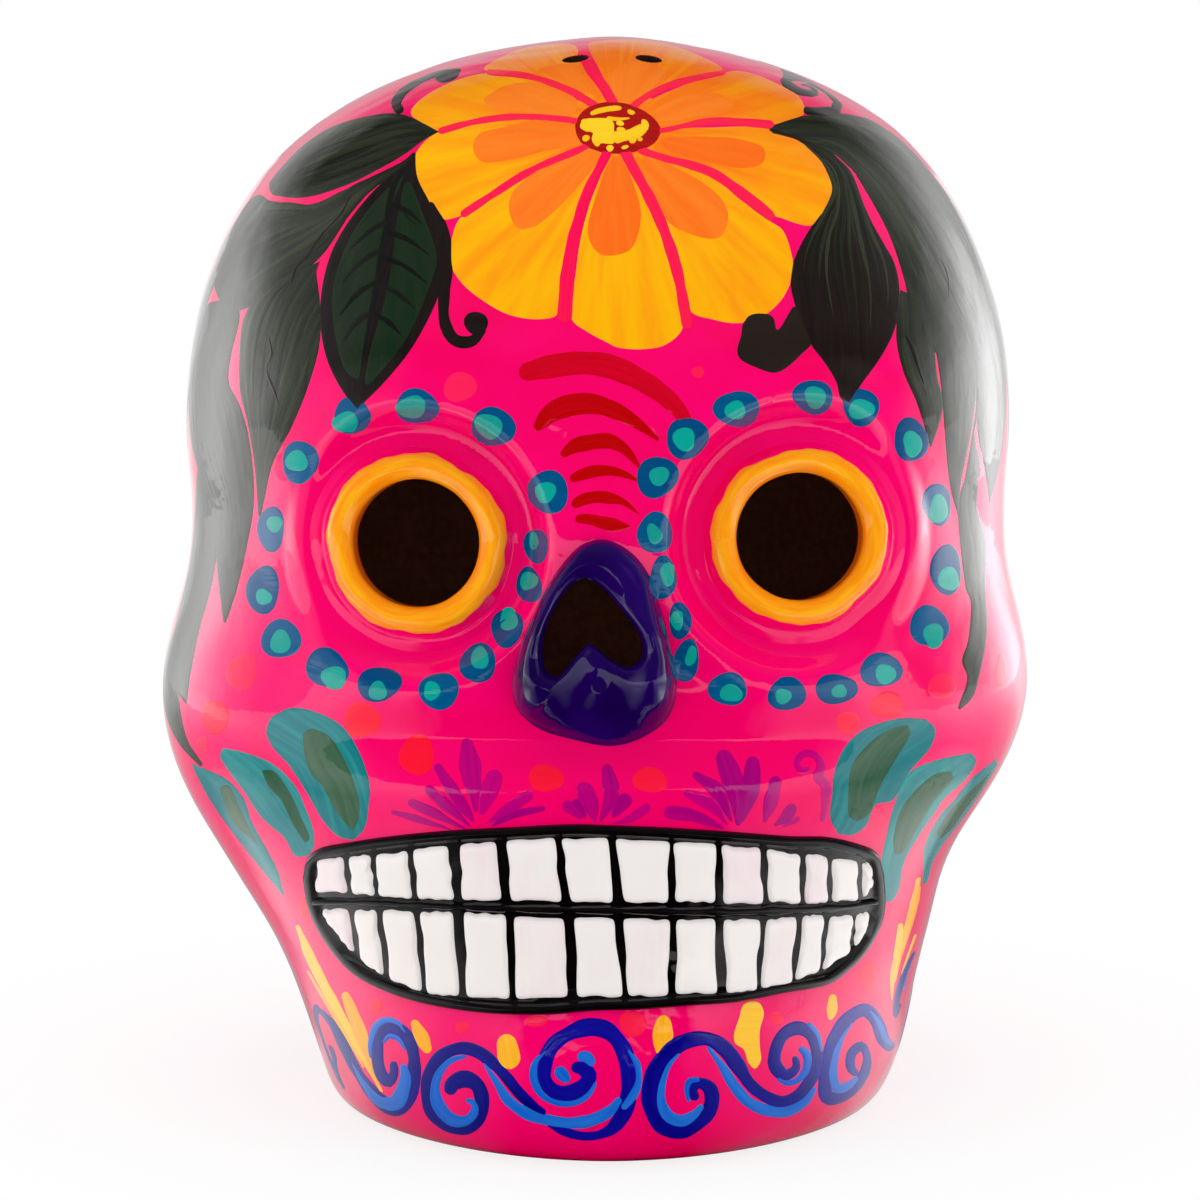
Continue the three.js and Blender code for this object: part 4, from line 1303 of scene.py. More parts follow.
def ring_colour(tree):
    """Yellow-orange on the crest, in round brush marks, going to a deeper orange down in the bore as
    painted shade.
    """
    place = painted(tree, "stroke", "Vector")
    depth = node(tree, "ShaderNodeSeparateXYZ", {0: place}).outputs[2]
    brush = noise(tree, place, (0.12, 0.9, 0.0), Scale=1.0, Detail=3.0)
    body = blend(tree, ramped(tree, brush, 0.38, 0.68), srgb(255, 176, 24), srgb(255, 140, 14))
    # Painted shade: deeper orange the further down the bore
    return blend(tree, ramped(tree, depth, 2.2, -1.0), body, srgb(250, 118, 0))


ring_orange = glossy("orange_paint", ring_colour, lambda tree: streaks(tree, 0.9, 0.1))
collars = []
for eye, name in zip(EYES, ("left_eye_collar", "right_eye_collar")):
    made = collar_piece(eye, name.replace("_eye_collar", "_eye_clay_collar"))
    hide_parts(name)
    finish_piece(made)
    collars.append(made)
ring_paint(EYES[0], "left_eye_orange_ring", ring_orange, 12.5, 0.32)
ring_paint(EYES[1], "right_eye_orange_ring", ring_orange, 12.25, 0.28)


# The nose, laid on round its hole, with its nostrils: middle, reach in pixels, and rise
NOSTRILS = [
    ((543, 690), 24, 1.5), ((650, 688), 22, 1.5), ((600, 700), 13, 0.6), ((575, 706), 13, -0.5),
    ((625, 704), 13, -0.5), ((604, 735), 20, -0.7),
]
# Where the crest lies between the hole and the outer edge, and how the nose falls from it
CREST_SPAN = 0.45
CREST_FALL = 0.55
CREST_ROWS = (13, 20)
INNER_EDGE_SHARE = 0.55
OUTER_EDGE_RISE = 0.25
INNER_DEPTHS = (9, 7, 5, 3, 1.6, 0.7)
# The crest's height at the top and low down, as a share of the nose's rise
TOP_CREST_SHARE = 0.52
LOW_CREST_SHARE = 0.62
NOSE_WOBBLE = 0.28
NOSE_WOBBLE_SCALE = 1.7
NOSE_SKIRT = 1.05
NOSE_SKIRT_SINK = 0.3


def nose_piece():
    """Rows from the hole's edge over a crest to the outer edge, with a wall down into the hole."""
    turn = full_turn(NOSE_STEPS)
    low = (1 - np.cos(turn)) / 2
    lobes = np.sin(turn) ** 2
    share = mix(TOP_CREST_SHARE, LOW_CREST_SHARE, low)
    share = share + (1 - LOW_CREST_SHARE) * low * lobes * 2
    crest = NOSE_RISE * np.minimum(share, 1)
    flats, rises = [], []
    before, beyond = CREST_ROWS
    for span in [*np.linspace(0, CREST_SPAN, before)[:-1], *np.linspace(CREST_SPAN, 1, beyond)]:
        flats.append(nose_hole + (nose_outer - nose_hole) * span)
        far = CREST_SPAN if span < CREST_SPAN else CREST_FALL
        rest = math.sqrt(max(1 - min(1, abs(span - CREST_SPAN) / far) ** 2, 0))
        edge = INNER_EDGE_SHARE * crest if span < CREST_SPAN else OUTER_EDGE_RISE
        rises.append(edge + (crest - edge) * rest)
    flat = np.array(flats).reshape(-1, 2)
    origins, directions = photo_rays(flat)
    places, _ = clay.cast(origins, directions)
    rise = np.array(rises).reshape(-1)
    wave = hand_wobble(places * NOSE_WOBBLE_SCALE, NOSE_WOBBLE)
    for middle, reach, swell in NOSTRILS:
        away = np.linalg.norm(flat - np.array(middle), axis=1) / reach
        wave = wave + swell * np.exp(-(away**2))
    wave = wave * np.clip(rise / 3, 0, 1)
    shape = (len(flats), NOSE_STEPS, 3)
    top = (places - (rise + wave)[:, None] * directions).reshape(shape)
    way = directions.reshape(shape)[0]
    origins, directions = photo_rays(nose_hole + (nose_outer - nose_hole) * NOSE_SKIRT)
    skirt, _ = clay.cast(origins, directions)
    inner_rows = [top[0] + way * depth for depth in INNER_DEPTHS]
    rings = np.array([*inner_rows, *top, skirt + directions * NOSE_SKIRT_SINK])
    faces = grid_faces(len(rings), NOSE_STEPS, closed=True)
    made = mesh_object("nose", rings.reshape(-1, 3), faces)
    made.data.materials.append(indigo)
    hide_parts("nose_surround")
    finish_piece(made)
    return made


nose = nose_piece()


# The mouth: a black ground with raised lines, and two rows of pillowed teeth
MOUTH_TOP = [
    (304, 876), (308, 858), (318, 849), (356, 841), (408, 834), (453, 830), (510, 827), (573, 824),
    (611, 825), (662, 827), (739, 832), (790, 836), (828, 837), (859, 844), (876, 852), (883, 873),
]
MOUTH_BOTTOM = [
    (304, 876), (308, 902), (316, 923), (331, 948), (354, 973), (382, 989), (423, 1003),
    (484, 1013), (545, 1015), (596, 1011), (636, 1010), (688, 1006), (739, 1002), (779, 994),
    (828, 984), (843, 974), (864, 953), (880, 923), (884, 900), (883, 873),
]
MOUTH_MIDDLE = [
    (314, 901), (362, 901), (408, 903), (510, 908), (612, 910), (713, 911), (790, 909),
    (841, 906), (876, 901),
]
MOUTH_MIDDLE_WIDTHS = [9, 9, 10, 11, 11, 12, 12, 11, 9]
LINE_PIXELS = 11
GROUND_LIFT = 0.18
LINE_SINK = -0.1
MIDDLE_LIFT = 0.05
MIDDLE_RAMP = 4.5
MOUTH_WOBBLE = 0.1
# The ground's columns, closer at the corners, and its rows in from the edge, in pixels
MOUTH_COLUMNS = 230
MOUTH_ENDS = [0, 0.0012, 0.003, 0.0055, 0.0085, 0.012, 0.0155]
MOUTH_FIRST = 0.019
MOUTH_EDGE_ROWS = np.array([0, 0.7, 1.8, 3.4, 5.5, 7.6, 9.2, 10.3, 11, 14])
MOUTH_EDGE_SHARE = 0.9
MOUTH_MIDDLE_ROWS = 12
COLUMN_STEP = 2.6


def mouth_profile(depth):
    """The black rim rises to a round line, then falls to the ground between the teeth."""
    t = np.clip(depth / LINE_PIXELS, 0, 1)
    ridge = np.sqrt(np.maximum(1 - (2 * t - 1) ** 2, 0))
    foot = np.where(t < 0.5, LINE_SINK, GROUND_LIFT)
    return foot + (LINE_RISE - foot) * ridge


def mouth_ground():
    """The black ground between its upper and lower edge, with the line between the rows."""
    paint = Paint("mouth_line_paint", clay, relief=1)
    shares = with_close_ends(MOUTH_ENDS, MOUTH_FIRST, MOUTH_COLUMNS)
    top, bottom = smooth_line(MOUTH_TOP, shares), smooth_line(MOUTH_BOTTOM, shares)
    steps = MOUTH_EDGE_ROWS
    rows = []
    for first, last, reach in zip(top, bottom, np.linalg.norm(bottom - top, axis=1)):
        near = steps * min(1, reach / 2 / steps[-1] * MOUTH_EDGE_SHARE)
        middle = np.linspace(near[-1], reach - near[-1], MOUTH_MIDDLE_ROWS)[1:-1]
        across = np.concatenate([near, middle, (reach - near)[::-1]]) / max(reach, 1e-6)
        rows.append(first + (last - first) * across[:, None])
    flat = np.array(rows)
    gaps = np.empty(flat.shape[:2])
    line = np.concatenate([top, bottom[::-1], top[:1]])
    start, run = line[:-1], np.diff(line, axis=0)
    long = np.maximum((run * run).sum(1), 1e-9)
    for i, row in enumerate(flat):
        along = np.clip(((row[:, None] - start) * run).sum(2) / long, 0, 1)
        gaps[i] = np.linalg.norm(start + run * along[..., None] - row[:, None], axis=2).min(1)
    runs = np.broadcast_to(np.arange(len(flat))[:, None] * COLUMN_STEP, gaps.shape)
    paint.lay(flat, gaps, runs, gaps, 0 * gaps, 0.5, profile=mouth_profile)
    paint.ramp = MIDDLE_RAMP
    lift = LINE_RISE + MIDDLE_LIFT
    paint.ribbon(MOUTH_MIDDLE, MOUTH_MIDDLE_WIDTHS, lift=lift, wobble=MOUTH_WOBBLE)
    made = paint.made(black, "black_line")
    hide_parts("mouth_line")
    return made


UPPER_TEETH = [
    ((318, 857), (344, 856), (349, 893), (316, 892)), ((349, 856), (371, 854), (376, 896), (353, 894)),
    ((376, 854), (408, 850), (413, 899), (379, 896)), ((413, 849), (448, 845), (455, 900), (418, 899)),
    ((460, 844), (496, 841), (502, 900), (462, 900)), ((506, 840), (555, 837), (562, 902), (511, 901)),
    ((561, 838), (608, 837), (613, 903), (571, 902)), ((615, 838), (670, 841), (668, 903), (624, 902)),
    ((673, 842), (716, 843), (715, 903), (675, 902)), ((721, 844), (760, 847), (763, 904), (723, 904)),
    ((766, 848), (800, 854), (800, 904), (768, 902)), ((805, 853), (827, 856), (827, 903), (804, 904)),
    ((831, 858), (857, 860), (857, 901), (831, 902)), ((861, 861), (871, 864), (873, 884), (862, 899)),
]
LOWER_TEETH = [
    ((322, 908), (349, 908), (356, 953), (335, 930)), ((355, 909), (377, 909), (385, 976), (362, 960)),
    ((383, 909), (414, 911), (423, 992), (391, 980)), ((420, 911), (453, 911), (460, 996), (428, 994)),
    ((464, 911), (506, 914), (510, 999), (467, 997)), ((514, 916), (564, 918), (568, 997), (516, 999)),
    ((574, 917), (614, 918), (623, 997), (577, 997)), ((623, 918), (670, 919), (668, 996), (628, 996)),
    ((676, 919), (715, 918), (717, 994), (675, 994)), ((723, 919), (760, 919), (756, 992), (726, 994)),
    ((766, 919), (796, 916), (791, 984), (760, 990)), ((802, 915), (823, 914), (818, 972), (794, 981)),
    ((829, 916), (852, 914), (849, 953), (821, 971)), ((855, 914), (868, 910), (866, 930), (853, 948)),
]
TOOTH_CORNER = 4.8
CORNER_CUT = 0.24
SIDE_SHARES = (0.3, 0.5, 0.7)
SIDE_WAVER = (-1.5, 0.9)
TOOTH_EDGE = 5
TOOTH_SWELL_REACH = 24
TOOTH_SWELL = 0.1
TOOTH_STEP = 2.2


def tooth_outline(corners):
    """A tooth's four corners, softened as a brush rounds them."""
    points = np.array(corners, float)
    outline = []
    for k in range(4):
        corner, before, after = points[k], points[k - 1], points[(k + 1) % 4]
        back = (before - corner) / np.linalg.norm(before - corner)
        on = (after - corner) / np.linalg.norm(after - corner)
        outline.append(corner + back * TOOTH_CORNER)
        outline.append(corner + (back + on) * TOOTH_CORNER * CORNER_CUT)
        outline.append(corner + on * TOOTH_CORNER)
        side = np.array([on[1], -on[0]])
        for share in SIDE_SHARES:
            outline.append(mix(corner, after, share) + side * rng.uniform(*SIDE_WAVER))
    return outline


def tooth_profile(depth):
    """A pillow: a quick rounded edge and a slow swelling to the middle."""
    edge = (TOOTH_RISE - 2 * TOOTH_SWELL) * rounded(depth, TOOTH_EDGE)
    return TOOTH_SWELL + edge + TOOTH_SWELL * rounded(depth, TOOTH_SWELL_REACH)


def tooth_row(name, teeth, node_name):
    """One row of teeth, each streaked from its upper side to its lower."""
    paint = Paint(name, clay, ramp=TOOTH_EDGE, relief=0.5)
    for corners in teeth:
        points = np.array(corners, float)
        lean = (points[2] + points[3] - points[0] - points[1]) / 2
        angle = math.degrees(math.atan2(lean[1], lean[0]))
        paint.blob(tooth_outline(corners), profile=tooth_profile, step=TOOTH_STEP, axis=angle)
    made = paint.made(tooth_white, "white_teeth")
    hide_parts(node_name)


def tooth_colour(tree):
    """White, with a faint pink wash toward the gum and here and there between."""
    clouds = {0: 0.35, 2: clay_noise(tree, 110.0, 2.0), 3: streaks(tree, 0.8, 0.12)}
    share = node(tree, "ShaderNodeMix", clouds).outputs[0]
    high = calc(tree, "ADD", share, painted(tree, "shade", "Fac"))
    return blend(tree, ramped(tree, high, 1.25, 2.0), srgb(243, 239, 236), srgb(244, 212, 224))


tooth_white = glossy("tooth_paint", tooth_colour, lambda tree: streaks(tree, 0.8, 0.12))
mouth = mouth_ground()
tooth_row("upper_teeth_row", UPPER_TEETH, "upper_teeth")
tooth_row("lower_teeth_row", LOWER_TEETH, "lower_teeth")
full = Canvas(outer, *collars, nose, mouth)


def shaded(name, first, second, spread=0.6, fine=1.4, long=0.06):
    """A brush-streaked paint that each mark takes further toward its second colour."""

    def colour(tree):
        brush = ramped(tree, streaks(tree, fine, long), 0.3, 0.7, -spread / 2, spread / 2)
        share = calc(tree, "ADD", painted(tree, "shade", "Fac"), brush, clamp=True)
        return blend(tree, share, srgb(*first), srgb(*second))

    return glossy(name, colour, lambda tree: streaks(tree, fine, long))


# Each paint's two colours, how far apart its streaks take them, and how fine and long those are
PAINTS = {
    "petal": ((255, 184, 2), (254, 122, 16), 0.75, 0.9, 0.05),
    "tongue": ((255, 136, 34), (254, 110, 22), 0.7, 0.9, 0.08),
    "petal_line": ((255, 0, 84), (255, 52, 60), 0.5),
    "disc": ((190, 16, 8), (140, 0, 10)),
    "bead": ((255, 214, 40), (255, 190, 16)),
    "leaf": ((20, 26, 18), (50, 54, 38), 1.0, 1.0, 0.045),
    "leaf_edge": ((24, 16, 17), (38, 30, 26)),
    "leaf_inside": ((20, 42, 22), (34, 44, 32), 0.9),
    "vein": ((16, 18, 14), (24, 26, 22), 0.5),
    "blue_dot": ((0, 70, 122), (0, 88, 136)),
    "teal_dot": ((4, 164, 150), (22, 150, 140), 0.7),
    "brow": ((186, 0, 0), (222, 0, 44), 0.6, 1.2, 0.06),
    "red_dot": ((255, 20, 52), (255, 34, 92), 0.3),
    "drop": ((0, 116, 124), (34, 148, 146), 1.1, 0.9, 0.05),
    # The drops' centres run from dark green paint to a greyish green, partly brush streaks and partly a
    # painted sheen of the varnish
    "drop_inside": ((2, 76, 46), (62, 98, 70), 1.1, 0.7, 0.05),
    "sprig": ((164, 0, 118), (200, 0, 120), 0.9, 1.1, 0.06),
    "jaw_yellow": ((255, 202, 48), (255, 172, 30)),
    "scroll": ((4, 2, 112), (16, 12, 150), 0.9, 1.1, 0.12),
    "scroll_light": ((0, 88, 200), (36, 116, 214), 0.9, 1.1, 0.12),
}
paints = {name: shaded(name + "_paint", *colours) for name, colours in PAINTS.items()}


# The flower
PETALS = [
    ([(570, 118), (567, 91), (517, 76), (475, 77), (438, 90), (418, 104), (413, 113), (424, 124),
      (430, 131), (475, 121), (517, 116)], 0.45),
    ([(438, 134), (421, 149), (412, 171), (418, 194), (432, 214), (441, 218), (461, 214), (531, 170),
      (584, 146), (570, 122), (475, 124)], 0.3),
    ([(462, 219), (454, 239), (452, 261), (463, 281), (489, 302), (511, 313), (539, 317), (557, 312),
      (559, 272), (573, 230), (587, 194), (604, 155), (584, 150), (531, 174), (494, 197)], 0.2),
    ([(573, 317), (587, 329), (609, 341), (617, 345), (642, 347), (664, 343), (680, 329), (683, 312),
      (676, 272), (659, 222), (634, 166), (609, 155), (598, 183), (584, 233), (578, 272)], 0.15),
    ([(691, 309), (712, 317), (735, 321), (757, 317), (780, 298), (791, 272), (789, 253), (780, 230),
      (768, 222), (740, 200), (707, 177), (648, 155), (636, 160), (664, 222), (681, 267)], 0.3),
    ([(780, 216), (808, 224), (824, 216), (834, 200), (833, 185), (824, 166), (808, 148), (774, 132),
      (718, 129), (662, 134), (656, 150), (698, 163), (735, 185), (774, 214)], 0.55),
    ([(774, 123), (802, 113), (801, 104), (794, 94), (780, 87), (757, 77), (737, 73), (723, 75),
      (684, 87), (648, 106), (660, 127), (712, 120)], 0.8),
    ([(721, 70), (712, 63), (684, 51), (656, 44), (628, 41), (600, 42), (591, 44), (591, 51),
      (601, 70), (613, 96), (636, 101), (670, 82)], 0.85),
    ([(573, 47), (545, 47), (517, 52), (486, 69), (517, 73), (553, 82), (587, 99), (601, 96),
      (590, 73), (578, 56)], 0.7),
]
TONGUES = [
    [(483, 101), (503, 86), (531, 82), (559, 89), (578, 101), (573, 115), (531, 113), (494, 109)],
    [(472, 149), (477, 135), (503, 127), (545, 118), (573, 124), (581, 143), (545, 152), (503, 162),
     (480, 162)],
    [(508, 211), (511, 194), (531, 174), (573, 149), (601, 152), (578, 188), (553, 214), (533, 228),
     (517, 229)],
    [(587, 228), (598, 188), (613, 157), (620, 157), (636, 188), (642, 216), (634, 247), (625, 254),
     (601, 256), (590, 244)],
    [(642, 157), (684, 171), (718, 194), (729, 214), (723, 236), (712, 240), (684, 233), (667, 222),
     (650, 188)],
    [(659, 141), (698, 136), (740, 139), (765, 149), (764, 163), (746, 169), (707, 163), (670, 152)],
    [(653, 113), (679, 97), (698, 93), (721, 94), (735, 104), (726, 113), (693, 118), (660, 124)],
    [(608, 79), (617, 66), (636, 61), (656, 65), (667, 73), (660, 87), (636, 101), (617, 101)],
    [(536, 70), (550, 65), (573, 63), (584, 70), (595, 96), (573, 87), (550, 77)],
]
PETAL_LINES = [
    ([(660, 131), (712, 121), (774, 125)], [7, 8, 10], 0.4),
    ([(645, 152), (712, 173), (746, 197), (774, 219)], [9, 11, 13, 13], 0.4),
    ([(627, 156), (656, 211), (676, 267), (688, 329)], [12, 13, 13, 12], 0.3),
    ([(636, 104), (664, 87), (726, 72)], [8, 8, 8], 0.6),
    ([(612, 101), (592, 70), (581, 48)], [12, 14, 14], 0.3),
    ([(592, 104), (567, 90), (531, 77), (486, 72)], [10, 9, 8, 8], 0.6),
    ([(573, 121), (517, 117), (475, 122), (438, 132)], [8, 8, 8, 8], 0.5),
    ([(584, 148), (531, 171), (494, 194), (461, 216)], [9, 9, 9, 9], 0.3),
    ([(606, 155), (584, 202), (570, 258), (564, 323)], [11, 12, 14, 16], 0.1),
]
DISC_MIDDLE = (616.5, 128.7)
DISC_WIDTH = 87.5
DISC_HEIGHT = 52
BEAD_MASS = [
    (579, 127), (583, 120), (595, 118), (604, 118), (611, 119), (615, 125), (615, 131), (617, 138),
    (614, 145), (603, 145), (594, 146), (591, 140), (592, 134), (584, 132),
]
BEAD_RUNS = [
    ([(590, 115), (598, 112), (607, 110), (616, 109), (622, 109)], [5, 6, 7, 7, 5]),
    ([(606, 119), (618, 120), (630, 119)], [6, 7, 3]),
    ([(612, 139), (622, 137), (632, 135), (640, 131), (645, 126), (642, 120)], [13, 12, 13, 14, 13, 8]),
]
BEADS = [
    (631, 113, 10, 6), (620, 124, 10, 7), (621, 131, 11, 8), (633, 141, 10, 7), (586, 139, 9, 8),
    (597, 144, 8, 8), (610, 149, 9, 8), (625, 148, 9, 5), (584, 122, 8, 6), (640, 140, 7, 6),
]


def toward_disc(base):
    """A petal's paint, more orange the nearer it comes to the disc."""

    def shade(flat):
        away = (flat - np.array(DISC_MIDDLE)) / np.array([DISC_WIDTH / 2, DISC_HEIGHT / 2])
        return base + 0.6 * (1 - smoothstep(np.linalg.norm(away, axis=1), 1.1, 3.4))

    return shade


def flower():
    """Petals, the orange tongues on them, the pink lines between them, and the beaded disc."""
    petals = Paint("flower_petals", clay)
    petals.dot(DISC_MIDDLE, 1.3 * DISC_WIDTH, 1.5 * DISC_HEIGHT, shade=0.9, lift=0.03)
    for outline, shade in PETALS:
        petals.blob(outline, toward_disc(shade), middle=DISC_MIDDLE, grow=2.5)
    petals.made(paints["petal"])
    tongues = Paint("flower_tongues", clay)
    for outline in TONGUES:
        tongues.blob(outline, middle=DISC_MIDDLE)
    tongues.made(paints["tongue"])
    lines = Paint("flower_petal_lines", clay)
    for line, widths, shade in PETAL_LINES:
        start = mix(np.array(line[0]), np.array(DISC_MIDDLE), 0.3)
        lines.ribbon([tuple(start), *line], [widths[0], *widths], shade=shade)
    lines.made(paints["petal_line"])
    disc = Paint("flower_disc", clay)
    disc.dot(DISC_MIDDLE, DISC_WIDTH, DISC_HEIGHT, shade=0.4)
    disc.made(paints["disc"])
    beads = Paint("flower_beads", clay, ramp=3.4, relief=0.7)
    beads.blob(BEAD_MASS, 0.3, step=2)
    beads.ribbons(BEAD_RUNS, step=2, wobble=0.16)
    for x, y, wide, high in BEADS:
        beads.dot((x, y), wide, high, rng.uniform(-30, 30), lift=rng.uniform(0.36, 0.44))
    beads.made(paints["bead"])


# Leaves, each by the two edges that run from its stalk to its tip
LEFT_LEAVES = [
    ([(440, 131), (421, 121), (396, 113), (362, 117), (326, 129), (292, 149), (270, 171), (257, 188)],
     [(440, 132), (426, 139), (404, 155), (376, 171), (345, 186), (301, 198), (264, 193), (257, 189)],
     0.35),
    ([(413, 152), (404, 160), (348, 188), (329, 201), (301, 207), (273, 201), (244, 202), (208, 222),
      (180, 267), (182, 288), (208, 299)],
     [(413, 158), (404, 166), (360, 202), (320, 258), (278, 289), (236, 312), (222, 308), (216, 298)],
     0.3),
    ([(320, 261), (264, 287), (244, 317), (239, 357), (240, 393), (247, 422), (254, 464), (258, 515)],
     [(316, 272), (320, 301), (320, 343), (309, 385), (292, 427), (273, 464), (265, 498), (261, 517)],
     0.4),
    ([(222, 302), (184, 320), (158, 357), (152, 412), (168, 455), (199, 500), (213, 540), (219, 590),
      (223, 622)],
     [(236, 304), (240, 315), (231, 357), (229, 382), (240, 405), (247, 427), (253, 465), (254, 506),
      (247, 548), (237, 590), (226, 623)], 0.3),
    ([(196, 447), (180, 503), (168, 548), (152, 604), (150, 650), (162, 688), (185, 706)],
     [(208, 492), (214, 537), (216, 560), (210, 593), (199, 632), (191, 675), (187, 707)], 0.45),
    ([(150, 647), (134, 689), (142, 720), (172, 750), (202, 769)],
     [(180, 661), (177, 683), (181, 717), (189, 745), (203, 764)], 0.5),
]
RIGHT_LEAVES = [
    ([(768, 128), (791, 118), (808, 115), (841, 113), (875, 121), (903, 135), (933, 155), (964, 186),
      (1003, 224), (1032, 272), (1044, 318), (1044, 362), (1022, 394)],
     [(774, 135), (796, 141), (826, 150), (848, 165), (866, 192), (889, 235), (904, 280), (914, 325),
      (934, 352), (960, 368), (984, 384), (1006, 392)], 0.35),
    ([(900, 290), (896, 337), (903, 371), (917, 404), (925, 430), (930, 447)],
     [(924, 300), (934, 343), (938, 379), (943, 399), (942, 415), (932, 446)], 0.3),
    ([(934, 340), (940, 380), (943, 412), (945, 440), (947, 464), (951, 492), (958, 517)],
     [(975, 360), (977, 385), (972, 430), (967, 455), (961, 485), (959, 517)], 0.4),
    ([(972, 360), (976, 400), (969, 452), (964, 480), (958, 507), (960, 545), (962, 562), (966, 590),
      (970, 599), (968, 641), (962, 661), (967, 677), (958, 708)],
     [(984, 360), (984, 400), (975, 432), (981, 470), (975, 489), (979, 515), (985, 535), (990, 551),
      (986, 582), (987, 618), (986, 644), (979, 677), (973, 697), (960, 710)], 0.3),
    ([(978, 370), (978, 400), (977, 430), (984, 464), (993, 509)],
     [(1030, 372), (1036, 400), (1030, 432), (1014, 472), (994, 510)], 0.4),
]
FRONT_LEAVES = [
    ([(413, 152), (409, 159), (376, 188), (348, 222), (331, 253), (322, 287), (320, 323), (326, 357),
      (337, 382), (348, 399), (356, 409)],
     [(416, 154), (418, 177), (430, 202), (442, 228), (449, 258), (441, 289), (432, 312), (410, 351),
      (382, 385), (365, 402), (359, 409)], 0.2),
    ([(768, 131), (790, 138), (808, 147), (824, 165), (833, 190), (830, 205), (819, 216), (802, 242),
      (792, 267), (791, 289), (810, 343), (824, 362), (836, 382), (841, 399), (848, 404)],
     [(775, 130), (800, 138), (830, 152), (850, 172), (860, 195), (872, 222), (885, 245), (895, 264),
      (900, 295), (895, 329), (881, 357), (861, 385), (850, 403)], 0.35),
]
# One leaf more round each side, where the photograph doesn't see: counted as the jaw's border is
SIDE_LEAF = (
    [(420, 930), (478, 880), (540, 800), (566, 710), (548, 630), (520, 566)],
    [(420, 920), (440, 850), (452, 770), (468, 690), (492, 622), (520, 564)],
)
LEAF_INSIDE = [
    [(404, 176), (392, 200), (388, 235), (380, 280), (368, 330), (358, 380), (346, 372), (334, 330),
     (332, 290), (342, 254), (358, 224), (380, 196)],
    [(408, 180), (424, 214), (434, 240), (438, 262), (430, 290), (408, 338), (382, 372), (366, 386),
     (368, 360), (382, 310), (392, 260), (398, 214)],
]
LEAF_VEINS = [
    ([(404, 168), (393, 190), (386, 230), (376, 287), (366, 340), (358, 392)], [8, 9, 9, 8, 6, 3]),
    ([(391, 205), (408, 212), (424, 226)], [8, 8, 4]),
    ([(387, 232), (408, 240), (430, 256)], [8, 8, 4]),
    ([(383, 258), (404, 266), (428, 284)], [8, 8, 4]),
    ([(378, 286), (398, 294), (416, 310)], [8, 8, 4]),
    ([(372, 314), (388, 322), (402, 336)], [8, 8, 4]),
    ([(388, 222), (370, 232), (350, 250)], [8, 8, 4]),
    ([(383, 250), (362, 262), (342, 284)], [8, 8, 4]),
    ([(377, 282), (358, 294), (340, 316)], [8, 8, 4]),
    ([(371, 312), (356, 324), (342, 344)], [8, 8, 4]),
]
TENDRILS = [
    ([(402, 113), (396, 104), (402, 93), (418, 82), (441, 73), (461, 70)], [11, 10, 9, 7, 6, 4]),
    ([(430, 202), (444, 233), (447, 264), (444, 295), (445, 323), (455, 340), (472, 341), (484, 326)],
     [8, 11, 12, 12, 12, 12, 12, 10]),
    ([(834, 110), (838, 103), (830, 93), (816, 83), (796, 77), (784, 79), (794, 89), (808, 93),
      (817, 93), (812, 87), (801, 84)], [14, 9, 8, 7, 8, 9, 9, 8, 6, 4, 2]),
    ([(803, 110), (822, 112), (841, 111)], [9, 10, 10]),
]
BULBS = [((447, 76), 26, 12, -15), ((476, 323), 24, 24, 0)]
KNOB = [
    (743, 323), (749, 315), (763, 313), (773, 317), (777, 330), (784, 323), (795, 306), (812, 342),
    (802, 354), (785, 369), (774, 373), (757, 368), (740, 359), (737, 351), (741, 335),
]
# Where thick paint has run down the leaves
RUNS = [
    ([(350, 197), (342, 213), (321, 236), (308, 255), (296, 268), (291, 283)], [2, 3, 3, 4, 4, 3]),
    ([(269, 338), (272, 354), (267, 369), (274, 390), (280, 406)], [2, 4, 3, 4, 2]),
    ([(906, 336), (913, 350), (917, 364), (924, 385)], [3, 6, 5, 3]),
    ([(940, 258), (947, 274), (949, 296)], [2, 3, 2]),
    ([(396, 196), (408, 218), (426, 232)], [2, 4, 2]),
]


LEAF_ROWS = 40
LEAF_BASE = (404, 168)
MARK_WIDTHS = np.array([0.2, 0.6, 0.8, 0.8, 0.6, 0.4, 0])
THINNEST_MARK = 1.2
MARK_STARTS = (0.05, 0.35)
MARK_STOPS = (0.62, 0.93)
MARK_SPACING = 9
FRONT_MARKS = 11
BACK_MARK_LIFT = 0.085
FRONT_MARK_LIFT = 0.145


def leaf_marks(paint, left, right, strokes, lift):
    """Short brush marks that run down a leaf inside its edges."""
    t = np.linspace(0, 1, LEAF_ROWS)
    sides = smooth_line(left, t), smooth_line(right, t)
    middle_width = np.linalg.norm(sides[0][LEAF_ROWS // 2] - sides[1][LEAF_ROWS // 2])
    for k in range(strokes):
        place = (k + 0.5 + 0.3 * (rng.random() - 0.5)) / strokes
        start, stop = rng.uniform(*MARK_STARTS), rng.uniform(*MARK_STOPS)
        line = []
        for row in np.linspace(start, stop, len(MARK_WIDTHS)):
            low = int(row * (LEAF_ROWS - 1))
            share = row * (LEAF_ROWS - 1) - low
            first, second = (
                mix(side[low], side[min(low + 1, LEAF_ROWS - 1)], share) for side in sides
            )
            line.append(mix(first, second, 0.5 + (place - 0.5) * (1 - 0.25 * row)))
        widths = np.maximum(middle_width / strokes * MARK_WIDTHS, THINNEST_MARK)
        paint.ribbon(line, widths, shade=rng.random(), lift=lift)


